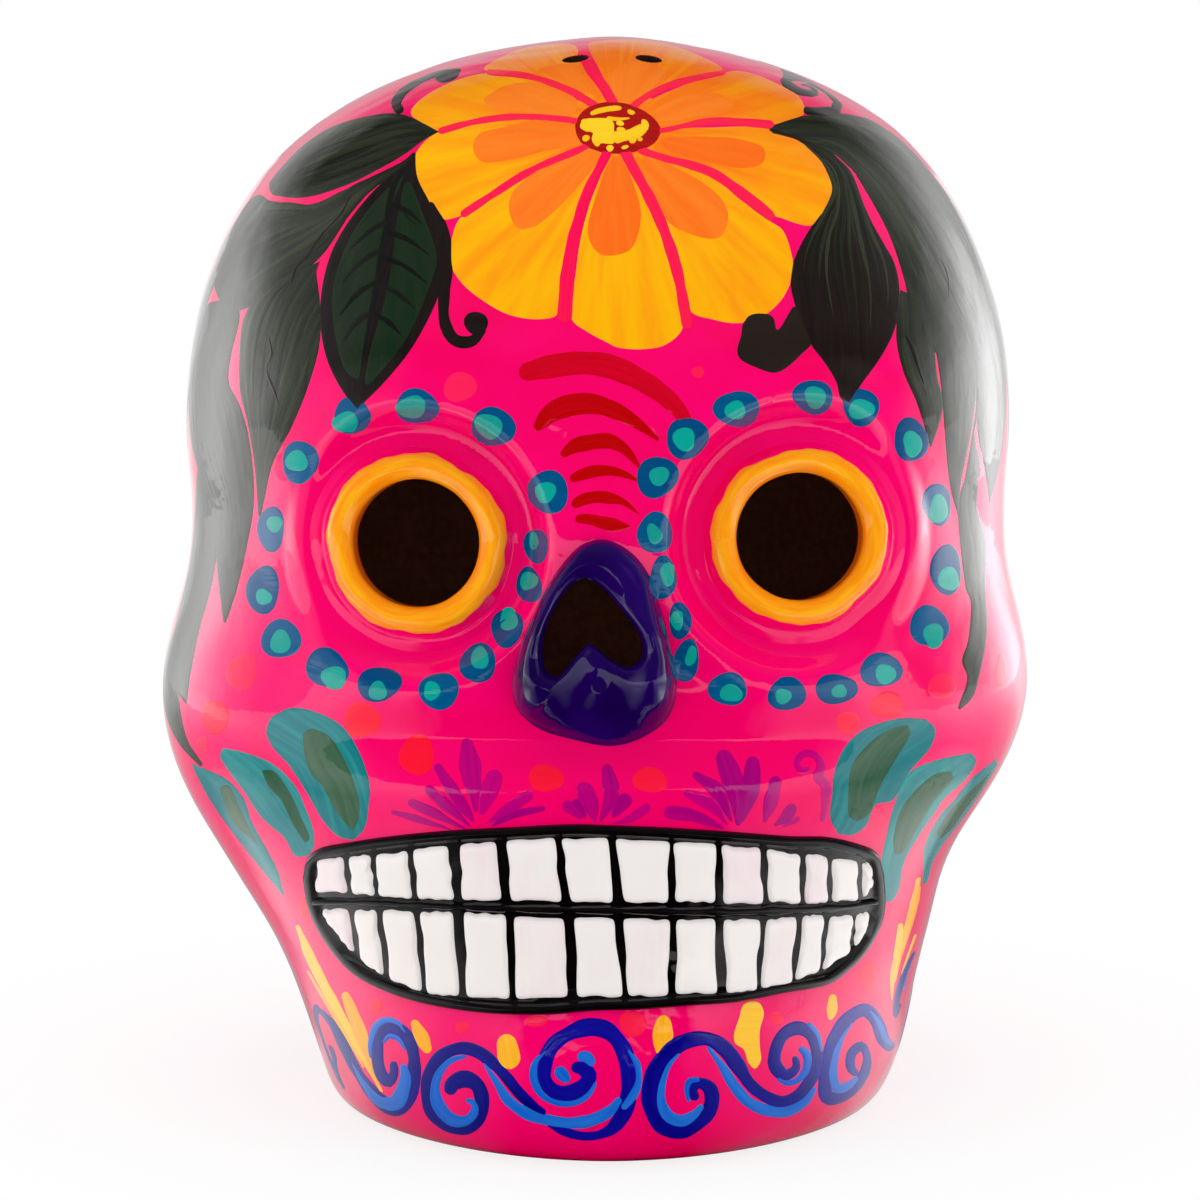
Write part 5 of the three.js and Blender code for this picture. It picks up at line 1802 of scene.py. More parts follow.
def leaves():
    """The leaves with their marks, insides and veins, and the tendrils between them."""
    back = Paint("back_leaves", clay)
    fronts = Paint("front_leaves", clay)
    streaked = Paint("leaf_streaks", clay)
    for left, right, shade in LEFT_LEAVES + RIGHT_LEAVES:
        back.between(left, right, shade)
        middles = [smooth_line(edge, np.array([0.5])) for edge in (left, right)]
        width = np.linalg.norm(middles[0] - middles[1])
        leaf_marks(streaked, left, right, max(2, int(width / MARK_SPACING)), BACK_MARK_LIFT)
    for left, right, shade in FRONT_LEAVES:
        fronts.between(left, right, shade)
    leaf_marks(streaked, *FRONT_LEAVES[1][:2], FRONT_MARKS, FRONT_MARK_LIFT)
    side = Paint("side_leaves", clay, rays=round_rays)
    for way in (-1, 1):
        side.between(*(np.array(line, float) * (way, 1) for line in SIDE_LEAF), 0.35)
    side.made(paints["leaf"])
    back.made(paints["leaf"])
    fronts.made(paints["leaf_edge"])
    streaked.made(paints["leaf"])
    inside = Paint("leaf_insides", clay)
    for outline in LEAF_INSIDE:
        inside.blob(outline, middle=LEAF_BASE)
    inside.made(paints["leaf_inside"])
    veins = Paint("leaf_veins", clay)
    veins.ribbons(LEAF_VEINS)
    veins.made(paints["vein"])
    tendrils = Paint("tendrils", clay)
    tendrils.ribbons(TENDRILS, shade=0.2)
    for place, width, height, angle in BULBS:
        tendrils.dot(place, width, height, angle, shade=0.2)
    tendrils.blob(KNOB, 1.0)
    tendrils.ribbons(RUNS, shade=0.1, lift=0.2)
    tendrils.made(paints["leaf_edge"])


# Brow strokes
BROWS = [
    ([(519, 374), (548, 367), (581, 363), (608, 366), (635, 377), (662, 394), (681, 413), (688, 427)],
     [18, 23, 24, 24, 23, 19, 16, 12]),
    ([(535, 430), (551, 413), (572, 405), (593, 404), (611, 409), (632, 420), (659, 440)],
     [8, 20, 22, 21, 18, 13, 4]),
    ([(561, 456), (575, 446), (593, 442), (608, 441), (620, 446), (630, 455), (640, 468)],
     [7, 15, 16, 16, 13, 9, 3]),
    ([(570, 480), (581, 475), (596, 471), (611, 471), (626, 475), (638, 481)], [7, 12, 13, 10, 7, 3]),
    ([(572, 506), (582, 500), (596, 497), (609, 498), (623, 502), (639, 514)], [9, 12, 13, 12, 7, 2]),
    ([(575, 519), (587, 519), (600, 522), (614, 525), (630, 527)], [8, 11, 13, 13, 3]),
]

# Dots: middle, width, height and lean of the blue, then the middle and size of the teal on it
DOTS = [
    ((352, 416), 39, 36, 0, (346, 422), 26, 24), ((417, 407), 45, 35, 0, (412, 407), 30, 26),
    ((493, 427), 45, 40, 25, (489, 426), 30, 27), ((548, 492), 40, 46, -20, (546, 492), 24, 22),
    ((536, 546), 24, 37, 0, (534, 541), 13, 20), ((529, 585), 26, 37, 0, (529, 581), 20, 22),
    ((507, 628), 31, 41, 15, (509, 620), 22, 24), ((478, 663), 38, 39, 0, (480, 658), 19, 27),
    ((439, 691), 39, 39, 0, (432, 691), 20, 20), ((379, 684), 45, 35, 0, (378, 691), 22, 20),
    ((327, 668), 43, 40, 20, (334, 677), 28, 24), ((281, 639), 39, 41, 0, (281, 642), 24, 25),
    ((263, 590), 33, 50, 0, (264, 597), 18, 19), ((271, 529), 29, 44, 0, (275, 524), 17, 20),
    ((300, 462), 37, 43, -10, (297, 461), 23, 25), ((737, 409), 45, 38, 0, (735, 410), 22, 22),
    ((813, 397), 42, 34, 0, (815, 397), 24, 24), ((861, 407), 38, 37, 0, (861, 409), 27, 23),
    ((911, 440), 36, 43, 0, (912, 444), 22, 28), ((937, 504), 29, 43, 0, (938, 509), 22, 30),
    ((946, 570), 33, 49, 0, (948, 579), 25, 25), ((929, 626), 38, 43, 0, (933, 635), 24, 25),
    ((881, 670), 41, 36, 0, (885, 674), 22, 24), ((836, 689), 41, 32, 0, (839, 691), 17, 17),
    ((787, 694), 40, 33, 0, (783, 696), 20, 17), ((728, 689), 38, 35, 0, (731, 693), 24, 21),
    ((686, 661), 27, 43, 15, (691, 656), 14, 22), ((680, 621), 24, 36, 0, (677, 620), 14, 24),
    ((663, 578), 28, 43, 0, (667, 574), 17, 25), ((655, 533), 35, 43, -10, (654, 534), 16, 24),
    ((657, 477), 42, 42, 0, (659, 476), 22, 22), ((687, 438), 44, 41, 0, (684, 439), 26, 25),
]
RED_DOTS = [
    ((242, 672), 31, 37, 0.9), ((215, 717), 28, 36, 0.4), ((362, 720), 36, 38, 0.1),
    ((417, 755), 37, 40, 0.0), ((546, 778), 34, 29, 0.1), ((460, 387), 34, 30, 0.95),
    ((203, 744), 12, 16, 0.8), ((650, 780), 34, 27, 0.2), ((887, 705), 33, 28, 0.3),
    ((848, 723), 26, 22, 0.4), ((942, 686), 30, 25, 0.8), ((1001, 672), 12, 33, 0.8),
    ((698, 372), 14, 12, 0.7), ((536, 1021), 25, 12, 0.6), ((462, 1027), 15, 12, 0.6),
    ((633, 1024), 30, 25, 0.5), ((777, 1018), 15, 12, 0.5), ((868, 976), 20, 28, 0.5),
    ((307, 905), 16, 30, 0.5), ((376, 1006), 15, 18, 0.5),
]


def dots():
    """The dots round the eyes, the loose red ones, and the strokes of the brow."""
    blue = Paint("blue_dots", full)
    teal = Paint("teal_dots", full)
    for place, width, height, lean, spot, wide, high in DOTS:
        blue.dot(place, width, height, lean, wobble=0.05)
        teal.dot(spot, wide, high, lean, wobble=0.06)
    blue.made(paints["blue_dot"])
    teal.made(paints["teal_dot"])
    red = Paint("red_dots", clay)
    for place, width, height, shade in RED_DOTS:
        red.dot(place, width, height, shade=shade, wobble=0.05)
    red.made(paints["red_dot"])
    brows = Paint("brow_strokes", clay)
    for k, (line, widths) in enumerate(BROWS):
        brows.ribbon(line, widths, shade=0.6 if k == 0 else 0.1, wobble=0.03)
    brows.made(paints["brow"])


# Cheek drops
DROPS = [
    ([(266, 731), (271, 717), (290, 708), (310, 710), (341, 725), (360, 753), (370, 787), (369, 803),
      (365, 828), (354, 840), (339, 837), (323, 821), (308, 795), (290, 767), (271, 745)],
     [(303, 733), (313, 728), (330, 736), (344, 756), (355, 781), (361, 808), (356, 828), (351, 831),
      (335, 811), (321, 785), (310, 773), (303, 750)]),
    ([(220, 756), (223, 748), (243, 752), (273, 764), (296, 787), (306, 809), (313, 828), (314, 846),
      (308, 856), (295, 856), (285, 839), (262, 818), (243, 790), (226, 767)],
     [(261, 770), (273, 769), (290, 790), (303, 818), (311, 839), (305, 844), (293, 826), (280, 800),
      (268, 787)]),
    ([(193, 770), (206, 770), (229, 781), (245, 801), (251, 820), (277, 869), (285, 898), (246, 850),
      (217, 812), (200, 784)],
     [(219, 787), (229, 784), (240, 804), (247, 820), (262, 850), (231, 820)]),
    ([(883, 722), (903, 718), (925, 719), (935, 728), (932, 745), (909, 773), (892, 801), (876, 805),
      (866, 826), (853, 835), (838, 834), (830, 818), (832, 795), (834, 773), (844, 748), (861, 731)],
     [(909, 725), (911, 733), (895, 762), (881, 787), (869, 815), (857, 822), (848, 816), (847, 795),
      (850, 767), (869, 742), (895, 726)]),
    ([(909, 773), (937, 760), (970, 753), (976, 759), (968, 776), (942, 801), (938, 808), (917, 839),
      (904, 864), (899, 890), (892, 901), (884, 902), (880, 890), (880, 867), (886, 836), (894, 805)],
     [(934, 773), (951, 771), (953, 778), (931, 806), (927, 813), (912, 839), (902, 854), (894, 855),
      (892, 839), (902, 805)]),
    ([(993, 769), (973, 778), (953, 801), (938, 818), (925, 844), (922, 869), (921, 890), (927, 890),
      (932, 869), (943, 851), (960, 831), (985, 795), (997, 775)],
     [(955, 803), (943, 818), (934, 836), (938, 844), (950, 836), (960, 821), (976, 801), (993, 776)]),
]


def halves(outline):
    """The two edges of a long shape, both from one of its tips to the other."""
    points = np.array(outline, float)
    away = np.linalg.norm(points[:, None] - points[None], axis=2)
    first, last = sorted(np.unravel_index(int(away.argmax()), away.shape))
    left = points[first : last + 1]
    right = np.concatenate([points[last:], points[: first + 1]])[::-1]
    return left, right


def drops():
    """The drops on the cheeks, each with its darker middle."""
    outers = Paint("cheek_drops", clay)
    inners = Paint("cheek_drop_centres", clay)
    for outline, inside in DROPS:
        outers.between(*halves(outline))
        inners.between(*halves(inside))
    outers.made(paints["drop"])
    # The centres' greyish streaks are partly a painted sheen
    inners.made(paints["drop_inside"])


# Sprigs under the nose and on the cheeks, each stroke from its tip to the stalk
SPRIGS = [
    ([(466, 738), (470, 765), (476, 812)], [12, 22, 5]),
    ([(436, 764), (459, 801), (474, 822)], [8, 14, 4]),
    ([(426, 787), (447, 806), (470, 826)], [8, 12, 3]),
    ([(408, 801), (431, 812), (465, 829)], [7, 11, 3]),
    ([(391, 812), (414, 818), (455, 831)], [5, 8, 2]),
    ([(497, 770), (488, 795), (481, 815)], [16, 18, 5]),
    ([(532, 793), (510, 808), (487, 823)], [10, 12, 3]),
    ([(545, 808), (510, 816), (492, 826)], [5, 9, 3]),
    ([(563, 803), (575, 811), (583, 818)], [14, 12, 6]),
    ([(573, 800), (580, 809), (586, 818)], [12, 9, 4]),
    ([(581, 783), (591, 805), (595, 822)], [16, 16, 4]),
    ([(606, 764), (611, 795), (600, 822)], [12, 15, 4]),
    ([(629, 795), (620, 807), (612, 818)], [18, 12, 5]),
    ([(650, 805), (632, 818), (612, 824)], [10, 9, 3]),
    ([(721, 750), (732, 778), (740, 801), (738, 826)], [14, 24, 20, 6]),
    ([(753, 756), (751, 784), (742, 822)], [12, 20, 5]),
    ([(693, 773), (718, 792), (732, 822)], [8, 14, 4]),
    ([(664, 812), (693, 816), (724, 828)], [14, 14, 4]),
    ([(777, 776), (771, 801), (764, 823)], [12, 14, 4]),
    ([(794, 804), (787, 816), (774, 826)], [10, 12, 3]),
    ([(684, 792), (712, 806), (728, 825)], [8, 12, 3]),
    ([(800, 818), (791, 823), (782, 827)], [6, 5, 3]),
]
# The curl at their right: its turns, its reach and its width, from its first end to its last
CURL_MIDDLE = (806, 765)
CURL_STEPS = 17
CURL_TURNS = (-0.9, 0.12)
CURL_REACH = (4, 16)
CURL_WIDTHS = (5, 10)
CURL_TAIL = [(825, 785), (825, 803), (822, 822)]
CURL_TAIL_WIDTHS = [10, 8, 5]


def sprigs():
    """The sprigs, and the one curl at their right."""
    paint = Paint("sprigs", clay)
    paint.ribbons(SPRIGS)
    line, widths = [], []
    for share in np.linspace(0, 1, CURL_STEPS):
        turn = mix(*CURL_TURNS, share) * 2 * math.pi
        reach = mix(*CURL_REACH, share)
        x, y = CURL_MIDDLE
        line.append((x + reach * math.cos(turn), y + reach * math.sin(turn)))
        widths.append(mix(*CURL_WIDTHS, share))
    paint.ribbon(line + CURL_TAIL, widths + CURL_TAIL_WIDTHS)
    paint.made(paints["sprig"])


# The jaw: yellow dabs and blue scrolls
JAW_YELLOW = [
    ([(297, 925), (311, 959), (344, 1022), (382, 1092)], [4, 10, 9, 3]),
    ([(308, 974), (331, 1010), (346, 1035), (364, 1068)], [3, 5, 5, 2]),
    ([(344, 992), (356, 1022), (367, 1053), (379, 1086)], [8, 14, 10, 2]),
    ([(413, 1020), (421, 1036), (429, 1053)], [8, 14, 8]),
    ([(505, 1034), (508, 1051), (511, 1069)], [16, 24, 16]),
    ([(664, 1015), (663, 1040), (667, 1063)], [14, 20, 12]),
    ([(833, 994), (832, 1010), (830, 1020)], [6, 11, 4]),
    ([(918, 879), (915, 902), (907, 933), (894, 971), (892, 1002)], [5, 9, 9, 7, 2]),
    ([(901, 923), (899, 946), (894, 984)], [5, 9, 4]),
    ([(917, 943), (910, 960), (902, 979)], [4, 4, 2]),
]
JAW_BOOT = [
    (744, 1004), (758, 1002), (764, 1012), (760, 1030), (760, 1048), (761, 1060), (755, 1069),
    (748, 1062), (744, 1050), (735, 1043), (734, 1034), (739, 1018),
]
# Each scroll: its dark stroke with the width at each point, and the light strokes laid along it
SCROLLS = [
    ([(319, 1014), (331, 1023), (343, 1044), (354, 1066), (367, 1086), (383, 1103), (398, 1108),
      (408, 1095), (414, 1072), (412, 1048), (402, 1032), (388, 1028), (379, 1038), (377, 1056),
      (381, 1074), (389, 1082), (394, 1072), (393, 1061)],
     [8, 10, 11, 11, 12, 15, 18, 18, 14, 13, 14, 13, 13, 13, 12, 12, 10, 7],
     [([(352, 1062), (364, 1083), (380, 1101), (396, 1103), (403, 1091), (406, 1075), (402, 1064)],
       [3, 7, 13, 17, 15, 12, 6]),
      ([(371, 1058), (371, 1042), (376, 1026), (386, 1020), (398, 1023), (406, 1033)],
       [4, 7, 7, 6, 5, 3]),
      ([(383, 1043), (389, 1036), (398, 1038), (406, 1050)], [3, 6, 6, 3])]),
    ([(318, 1011), (314, 1026), (318, 1046), (324, 1064), (332, 1082), (338, 1094)],
     [8, 7, 6, 6, 5, 4], []),
    ([(329, 1052), (333, 1062), (334, 1075), (338, 1088), (344, 1100)], [7, 8, 6, 6, 5], []),
    ([(545, 1115), (522, 1096), (500, 1070), (480, 1053), (462, 1048), (443, 1055), (431, 1072),
      (427, 1092), (433, 1112), (448, 1125), (466, 1129), (479, 1118), (482, 1100), (477, 1085),
      (464, 1079), (452, 1085), (450, 1095)],
     [9, 11, 12, 13, 13, 14, 14, 14, 15, 13, 13, 13, 14, 16, 18, 15, 9],
     [([(466, 1056), (450, 1061), (438, 1075), (435, 1094), (440, 1108), (452, 1120), (466, 1121),
        (475, 1112), (474, 1103), (466, 1100)], [4, 6, 9, 12, 13, 13, 12, 10, 7, 4]),
      ([(484, 1063), (497, 1083), (508, 1100), (526, 1113), (548, 1120), (570, 1123), (592, 1120),
        (611, 1110), (621, 1098)], [3, 7, 11, 12, 11, 12, 12, 11, 8])]),
    ([(540, 1114), (553, 1125), (572, 1134), (592, 1136), (610, 1130), (623, 1114), (629, 1092),
      (629, 1070), (622, 1047), (608, 1031), (590, 1027), (570, 1033), (553, 1045), (545, 1062),
      (545, 1080), (554, 1091), (570, 1093), (584, 1086), (589, 1075), (581, 1068), (571, 1068)],
     [8, 9, 9, 9, 12, 16, 18, 17, 17, 18, 18, 16, 15, 15, 15, 15, 16, 16, 17, 14, 10],
     [([(628, 1050), (637, 1065), (638, 1083), (631, 1098), (622, 1109)], [4, 8, 8, 10, 8]),
      ([(547, 1050), (535, 1064), (534, 1080), (542, 1095), (557, 1103), (574, 1103), (588, 1095),
        (596, 1082)], [3, 7, 8, 7, 6, 6, 6, 4]),
      ([(577, 1057), (587, 1057), (593, 1066)], [8, 12, 8]),
      ([(556, 1068), (562, 1074), (569, 1082)], [10, 13, 7])]),
    ([(697, 1100), (692, 1090), (699, 1083), (710, 1089), (711, 1106), (700, 1121), (681, 1131),
      (663, 1126), (652, 1109), (651, 1088), (658, 1066), (672, 1049), (690, 1040), (708, 1039),
      (724, 1048), (738, 1066), (750, 1084), (765, 1096), (782, 1102), (800, 1094), (813, 1074),
      (817, 1052), (811, 1035), (798, 1028), (784, 1034), (776, 1049), (775, 1065), (785, 1075),
      (796, 1068), (795, 1056)],
     [9, 11, 12, 14, 15, 16, 15, 17, 18, 18, 18, 18, 15, 15, 16, 15, 13, 12, 12, 13, 13, 13, 13, 13,
      13, 13, 14, 12, 9, 7],
     [([(679, 1053), (669, 1065), (662, 1084), (661, 1102), (668, 1116), (681, 1121), (694, 1115),
        (703, 1105)], [4, 5, 8, 11, 12, 12, 10, 6]),
      ([(700, 1080), (690, 1081), (687, 1090), (689, 1102)], [5, 7, 6, 4]),
      ([(708, 1047), (722, 1066), (735, 1087), (750, 1103), (770, 1111), (788, 1111), (804, 1102),
        (815, 1087)], [4, 8, 11, 12, 11, 11, 10, 5]),
      ([(808, 1023), (817, 1035), (821, 1052)], [5, 6, 4]),
      ([(777, 1078), (787, 1083), (799, 1079), (807, 1067), (806, 1053), (799, 1048)],
       [4, 6, 7, 8, 9, 6])]),
    ([(858, 1075), (851, 1068), (852, 1053), (862, 1046), (867, 1057), (864, 1074), (852, 1090),
      (838, 1098), (827, 1097), (825, 1080), (828, 1057), (836, 1035), (850, 1017), (865, 1010),
      (876, 1020), (883, 1040), (892, 1056), (900, 1062)],
     [6, 9, 10, 10, 9, 10, 11, 13, 14, 13, 13, 13, 14, 14, 13, 12, 10, 7],
     [([(852, 1022), (841, 1039), (834, 1060), (833, 1078), (838, 1089), (849, 1085), (858, 1077)],
       [3, 6, 9, 11, 11, 8, 4]),
      ([(869, 1010), (879, 1024), (886, 1044), (895, 1057)], [4, 7, 7, 5])]),
    ([(919, 964), (908, 978), (902, 992), (898, 1010), (899, 1024), (904, 1014)], [7, 9, 10, 9, 8, 4],
     [([(914, 974), (908, 986), (907, 1000)], [4, 5, 4])]),
]
# The jaw's border goes on round the back: which scroll is laid there again, how much wider, how
# often, how far apart, where the first one is and how high, and the dabs beside each
BACK_SCROLL = 5
BACK_WIDER = 1.18
BACK_SCROLLS = 6
BACK_STEP = 239
BACK_START = 479
BACK_HEIGHT = 88
BACK_DABS = ((-92, 156, 30), (18, 160, 24))
SCROLL_STEP = 2.6


def back_border():
    """The same scroll and dabs, laid on where the photograph doesn't see."""
    line, widths, lights = SCROLLS[BACK_SCROLL]
    centre = (np.max(line, 0) + np.min(line, 0)) / 2
    scrolls = Paint("back_scrolls", clay, rays=round_rays)
    light = Paint("back_scroll_lights", clay, rays=round_rays)
    dabs = Paint("back_dabs", clay, rays=round_rays)
    for k in range(BACK_SCROLLS):
        place = BACK_START + k * BACK_STEP + rng.uniform(-8, 8)
        middle = np.array([place, BACK_HEIGHT + rng.uniform(-3, 3)])
        size = rng.uniform(0.96, 1.06) * np.array([BACK_WIDER, -1])
        scrolls.ribbon(middle + (np.array(line) - centre) * size, widths, step=SCROLL_STEP)
        for light_line, light_widths in lights:
            light.ribbon(middle + (np.array(light_line) - centre) * size, light_widths)
        for aside, above, long in BACK_DABS:
            x, z = middle[0] + aside + rng.uniform(-6, 6), above + rng.uniform(-4, 4)
            dabs.ribbon([(x, z + long / 2), (x + 3, z), (x + 5, z - long / 2)], [9, 17, 9])
    scrolls.made(paints["scroll"])
    light.made(paints["scroll_light"])
    dabs.made(paints["jaw_yellow"])


def jaw():
    """The yellow dabs along the jaw, and the blue scrolls with their lighter strokes."""
    yellow = Paint("jaw_dabs", clay)
    yellow.ribbons(JAW_YELLOW)
    yellow.blob(JAW_BOOT)
    yellow.made(paints["jaw_yellow"])
    scrolls = Paint("jaw_scrolls", clay)
    light = Paint("jaw_scroll_lights", clay)
    for line, widths, lights in SCROLLS:
        scrolls.ribbon(line, widths, step=SCROLL_STEP)
        light.ribbons(lights)
    scrolls.made(paints["scroll"])
    light.made(paints["scroll_light"])


flower()
leaves()
dots()
drops()
sprigs()
jaw()
back_border()


# Floor, light and camera
WHITE = (1, 1, 1, 1)
SKY_LEVEL = 0.78
OVERHEAD_LEVEL = 1.19
FLOOR_REACH = 3200
# The oval inside the foot, in metres, from its middle in front of the skull's own
FOOT_SCALE = (27.4, 22.5, 0)
FOOT_SHIFT = (0, 0.29, 0)
# The dark strip on the floor: where it starts and ends in front of the skull and half its width
# there, and how soft its edge is, in metres
STRIP_START, STRIP_START_WIDTH = -0.06, 0.012
STRIP_END, STRIP_END_WIDTH = -0.46, 0.152
STRIP_EDGE = 0.03
BEARING_STEP = 3
SHEET_ROWS = 60


def emission(tree, strength, kind="ShaderNodeEmission"):
    """White light of a strength, from a surface or from the world."""
    return node(tree, kind, {"Color": WHITE, "Strength": strength}).outputs[0]


def mixed(tree, share, first, second):
    """The first shader where share is 0, and the second where it is 1."""
    return node(tree, "ShaderNodeMixShader", {0: share, 1: first, 2: second}).outputs[0]


def parts_of(tree, vector):
    """The x, y and z of a vector."""
    return node(tree, "ShaderNodeSeparateXYZ", {0: vector}).outputs


def length_of(tree, vector):
    """How long a vector is."""
    made = node(tree, "ShaderNodeVectorMath", {0: vector}, operation="LENGTH")
    return made.outputs["Value"]


def ray_kinds(tree):
    """Whether a ray comes from the camera, and whether it is mirrored or goes through glass."""
    path = node(tree, "ShaderNodeLightPath").outputs
    mirrored = calc(tree, "MAXIMUM", path["Is Glossy Ray"], path["Is Transmission Ray"])
    return path["Is Camera Ray"], mirrored


def front_strip(tree, place):
    """From 0 on a dark strip in front of the skull to 1 on the floor beside it."""
    parts = parts_of(tree, place)
    half = ramped(tree, parts[1], STRIP_START, STRIP_END, STRIP_START_WIDTH, STRIP_END_WIDTH)
    beyond = calc(tree, "SUBTRACT", calc(tree, "ABSOLUTE", parts[0]), half)
    return ramped(tree, beyond, 0.0, STRIP_EDGE)


def studio_floor():
    """A pale floor. The camera sees it white, a little less so near the skull, and plain and dark
    inside the foot. The varnish sees it dark in front and bright beside the skull."""
    corners = FLOOR_REACH * np.array([(-1, -1, 0), (1, -1, 0), (1, 1, 0), (-1, 1, 0)])
    made = mesh_object("studio_floor", corners, [(0, 1, 2, 3)])
    material, tree = new_material("pale_floor")
    plain = tree.nodes["Principled BSDF"]
    connect(tree, plain, {
        "Base Color": (0.86, 0.86, 0.86, 1), "Roughness": 0.9, "Specular IOR Level": 0.0,
    })
    camera, mirrored = ray_kinds(tree)
    place = object_place(tree)
    far = length_of(tree, place)
    oval = {"Vector": place, "Location": FOOT_SHIFT, "Scale": FOOT_SCALE}
    inside = length_of(tree, node(tree, "ShaderNodeMapping", oval).outputs[0])
    by_skull = ramped(tree, far, 0.045, 0.12, start=0.8, end=1.0)
    around = calc(tree, "MINIMUM", ramped(tree, inside, 0.9, 1.0), by_skull)
    seen = calc(tree, "MULTIPLY", around, camera)
    first = mixed(tree, seen, plain.outputs[0], emission(tree, 1.0))
    near = ramped(tree, far, 0.12, 0.4, start=0.4, end=1.0)
    beside = emission(tree, calc(tree, "MULTIPLY", front_strip(tree, place), near))
    last = mixed(tree, mirrored, first, beside)
    connect(tree, tree.nodes["Material Output"], {"Surface": last})
    made.data.materials.append(material)
    return made


def soft_sheet(name, points, glows, lights_paint=True):
    """A thin soft box, a grid of places with its brightness at each; the camera sees through it."""
    made = mesh_object(name, points.reshape(-1, 3), grid_faces(*points.shape[:2]))
    set_values(made, "glow", "FLOAT", glows)
    material, tree = new_material(name)
    tree.nodes.clear()
    bright = emission(tree, painted(tree, "glow", "Fac"))
    clear = node(tree, "ShaderNodeBsdfTransparent").outputs[0]
    both = node(tree, "ShaderNodeAddShader", {0: bright, 1: clear}).outputs[0]
    node(tree, "ShaderNodeOutputMaterial", {"Surface": both})
    made.data.materials.append(material)
    made.visible_camera = False
    made.visible_shadow = False
    made.visible_diffuse = lights_paint
    return made


def faded(turns, fades):
    """From 0 at the first and last of the bearings to 1 in between, over a width for each end."""
    starts = np.abs(turns - turns[0]) / fades[0]
    stops = np.abs(turns - turns[-1]) / fades[1]
    return smoothstep(np.minimum(starts, stops), 0, 1)


def bearings(first, last):
    """Even steps from one bearing to another, in degrees."""
    return np.linspace(first, last, int(abs(last - first) / BEARING_STEP) + 1)


def soft_wall(name, first, last, distance, rows, fades=(12, 12)):
    """An upright soft box, curved round the skull from one bearing to another. Its rows are
    heights in millimetres and how bright the box is there."""
    turns = bearings(first, last)
    heights, glows = np.array(rows, float).T
    levels = np.arange(heights[0], heights[-1] + 1, distance / SHEET_ROWS)
    turn, level = np.meshgrid(np.radians(turns), levels)
    points = np.stack([distance * np.sin(turn), -distance * np.cos(turn), level], -1)
    return soft_sheet(name, points, np.interp(level, heights, glows) * faded(turns, fades))


def floor_box(name, first, last, rows, fades):
    """A soft box on the floor beside the skull that shows in the varnish low down. Its rows are
    distances from the skull's middle and how bright the box is there."""
    turns = bearings(first, last)
    distances, glows = np.array(rows, float).T
    reaches = np.linspace(distances[0], distances[-1], SHEET_ROWS)
    turn, reach = np.meshgrid(np.radians(turns), reaches)
    bright = np.interp(reach, distances, glows) * faded(turns, fades)
    points = np.stack([reach * np.sin(turn), -reach * np.cos(turn), 1 + 0 * turn], -1)
    return soft_sheet(name, points, bright, False)


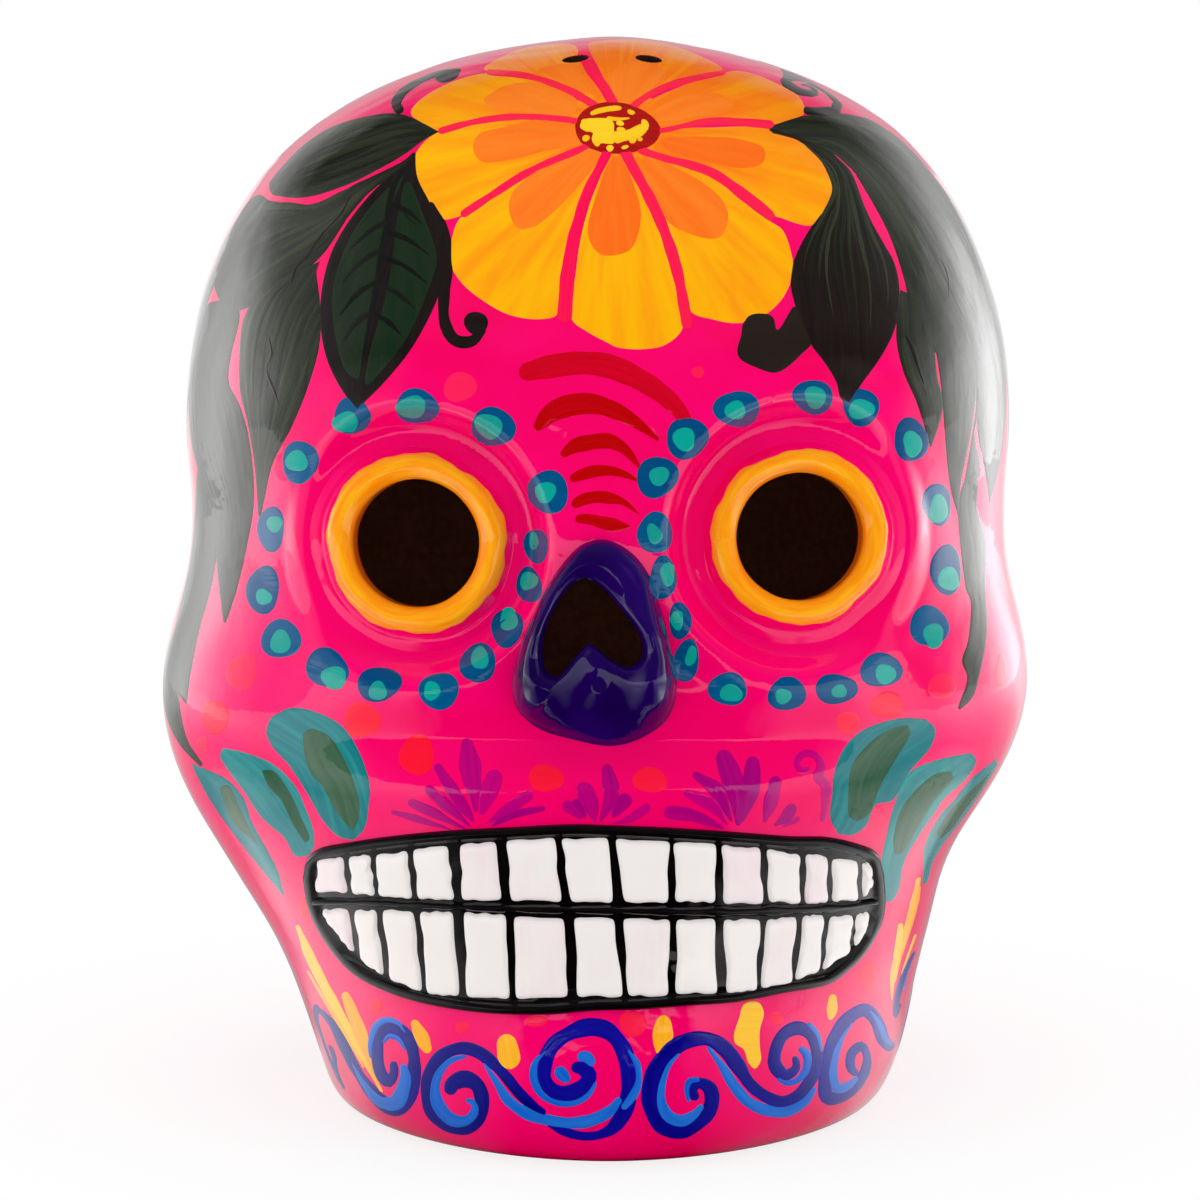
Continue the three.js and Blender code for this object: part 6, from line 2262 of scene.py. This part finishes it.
def studio_world():
    """White behind the skull for the camera, and for its varnish pale behind and dim in front."""
    world = bpy.data.worlds.new("studio")
    world.use_nodes = True
    tree = world.node_tree
    tree.nodes.clear()
    background = "ShaderNodeBackground"
    camera, mirrored = ray_kinds(tree)
    across, back, up = parts_of(tree, node(tree, "ShaderNodeTexCoord").outputs["Generated"])
    sides = ramped(tree, calc(tree, "ABSOLUTE", across), 0.12, 0.5, start=0.5, end=1.0)
    low_back = calc(
        tree, "MULTIPLY", ramped(tree, up, 0.42, 0.1), ramped(tree, back, 0.05, 0.6)
    )
    above = ramped(tree, up, 0.5, 1.0, start=0.03, end=0.1)
    strength = calc(tree, "MAXIMUM", calc(tree, "MULTIPLY", low_back, sides), above)
    in_varnish = emission(tree, strength, background)
    sky = emission(tree, ramped(tree, up, 0.0, 1.0, SKY_LEVEL, OVERHEAD_LEVEL), background)
    first = mixed(tree, mirrored, sky, in_varnish)
    last = mixed(tree, camera, first, emission(tree, 1.0, background))
    node(tree, "ShaderNodeOutputWorld", {"Surface": last})
    bpy.context.scene.world = world


def photo_camera():
    """The photograph's camera, with the shift that its framing needs."""
    data = bpy.data.cameras.new("photo_camera")
    data.sensor_width = SENSOR_WIDTH
    data.lens = FOCAL_PIXELS * SENSOR_WIDTH / PHOTO_SIZE
    data.shift_x = (PHOTO_SIZE / 2 - PHOTO_CENTRE[0]) / PHOTO_SIZE
    data.shift_y = (PHOTO_CENTRE[1] - PHOTO_SIZE / 2) / PHOTO_SIZE
    made = bpy.data.objects.new("photo_camera", data)
    made.location = Vector(camera_place.tolist()) * MM
    made.rotation_euler = Vector(camera_back.tolist()).to_track_quat("Z", "Y").to_euler()
    bpy.context.scene.collection.objects.link(made)
    bpy.context.scene.camera = made


NEAR_ROWS = [(4, 0.2), (60, 0.45), (110, 0.4), (175, 0)]
floor = studio_floor()
lights = [
    soft_wall("left_wall", -46, -152, 600, [
        (1, 1.6), (120, 1.6), (200, 1.3), (250, 1.0), (330, 0.65), (430, 0.4), (600, 0.25), (820, 0),
    ], (72, 28)),
    soft_wall("right_wall", 64, 160, 600, [
        (1, 2.6), (90, 2.6), (145, 1.9), (200, 1.15), (270, 0.65), (400, 0.4), (600, 0.2), (820, 0),
    ], (78, 22)),
    soft_wall("left_near_box", -28, -66, 210, NEAR_ROWS),
    soft_wall("right_near_box", 28, 66, 210, NEAR_ROWS),
    floor_box("left_foot_box", -30, -105, [
        (20, 0.2), (50, 0.3), (85, 1.7), (110, 1.6), (200, 0),
    ], (25, 25)),
    floor_box("right_foot_box", 30, 105, [
        (20, 0.2), (50, 0.3), (85, 1.9), (110, 1.8), (200, 0),
    ], (25, 25)),
    floor_box("left_floor_box", -34, -152, [(150, 0), (400, 0.3), (600, 0.6)], (50, 26)),
    floor_box("right_floor_box", 34, 160, [(130, 0), (300, 0.7), (600, 1.6)], (60, 22)),
]
studio_world()
photo_camera()
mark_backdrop(floor, *lights)
bpy.context.scene.view_settings.view_transform = "Standard"

low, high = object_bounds()
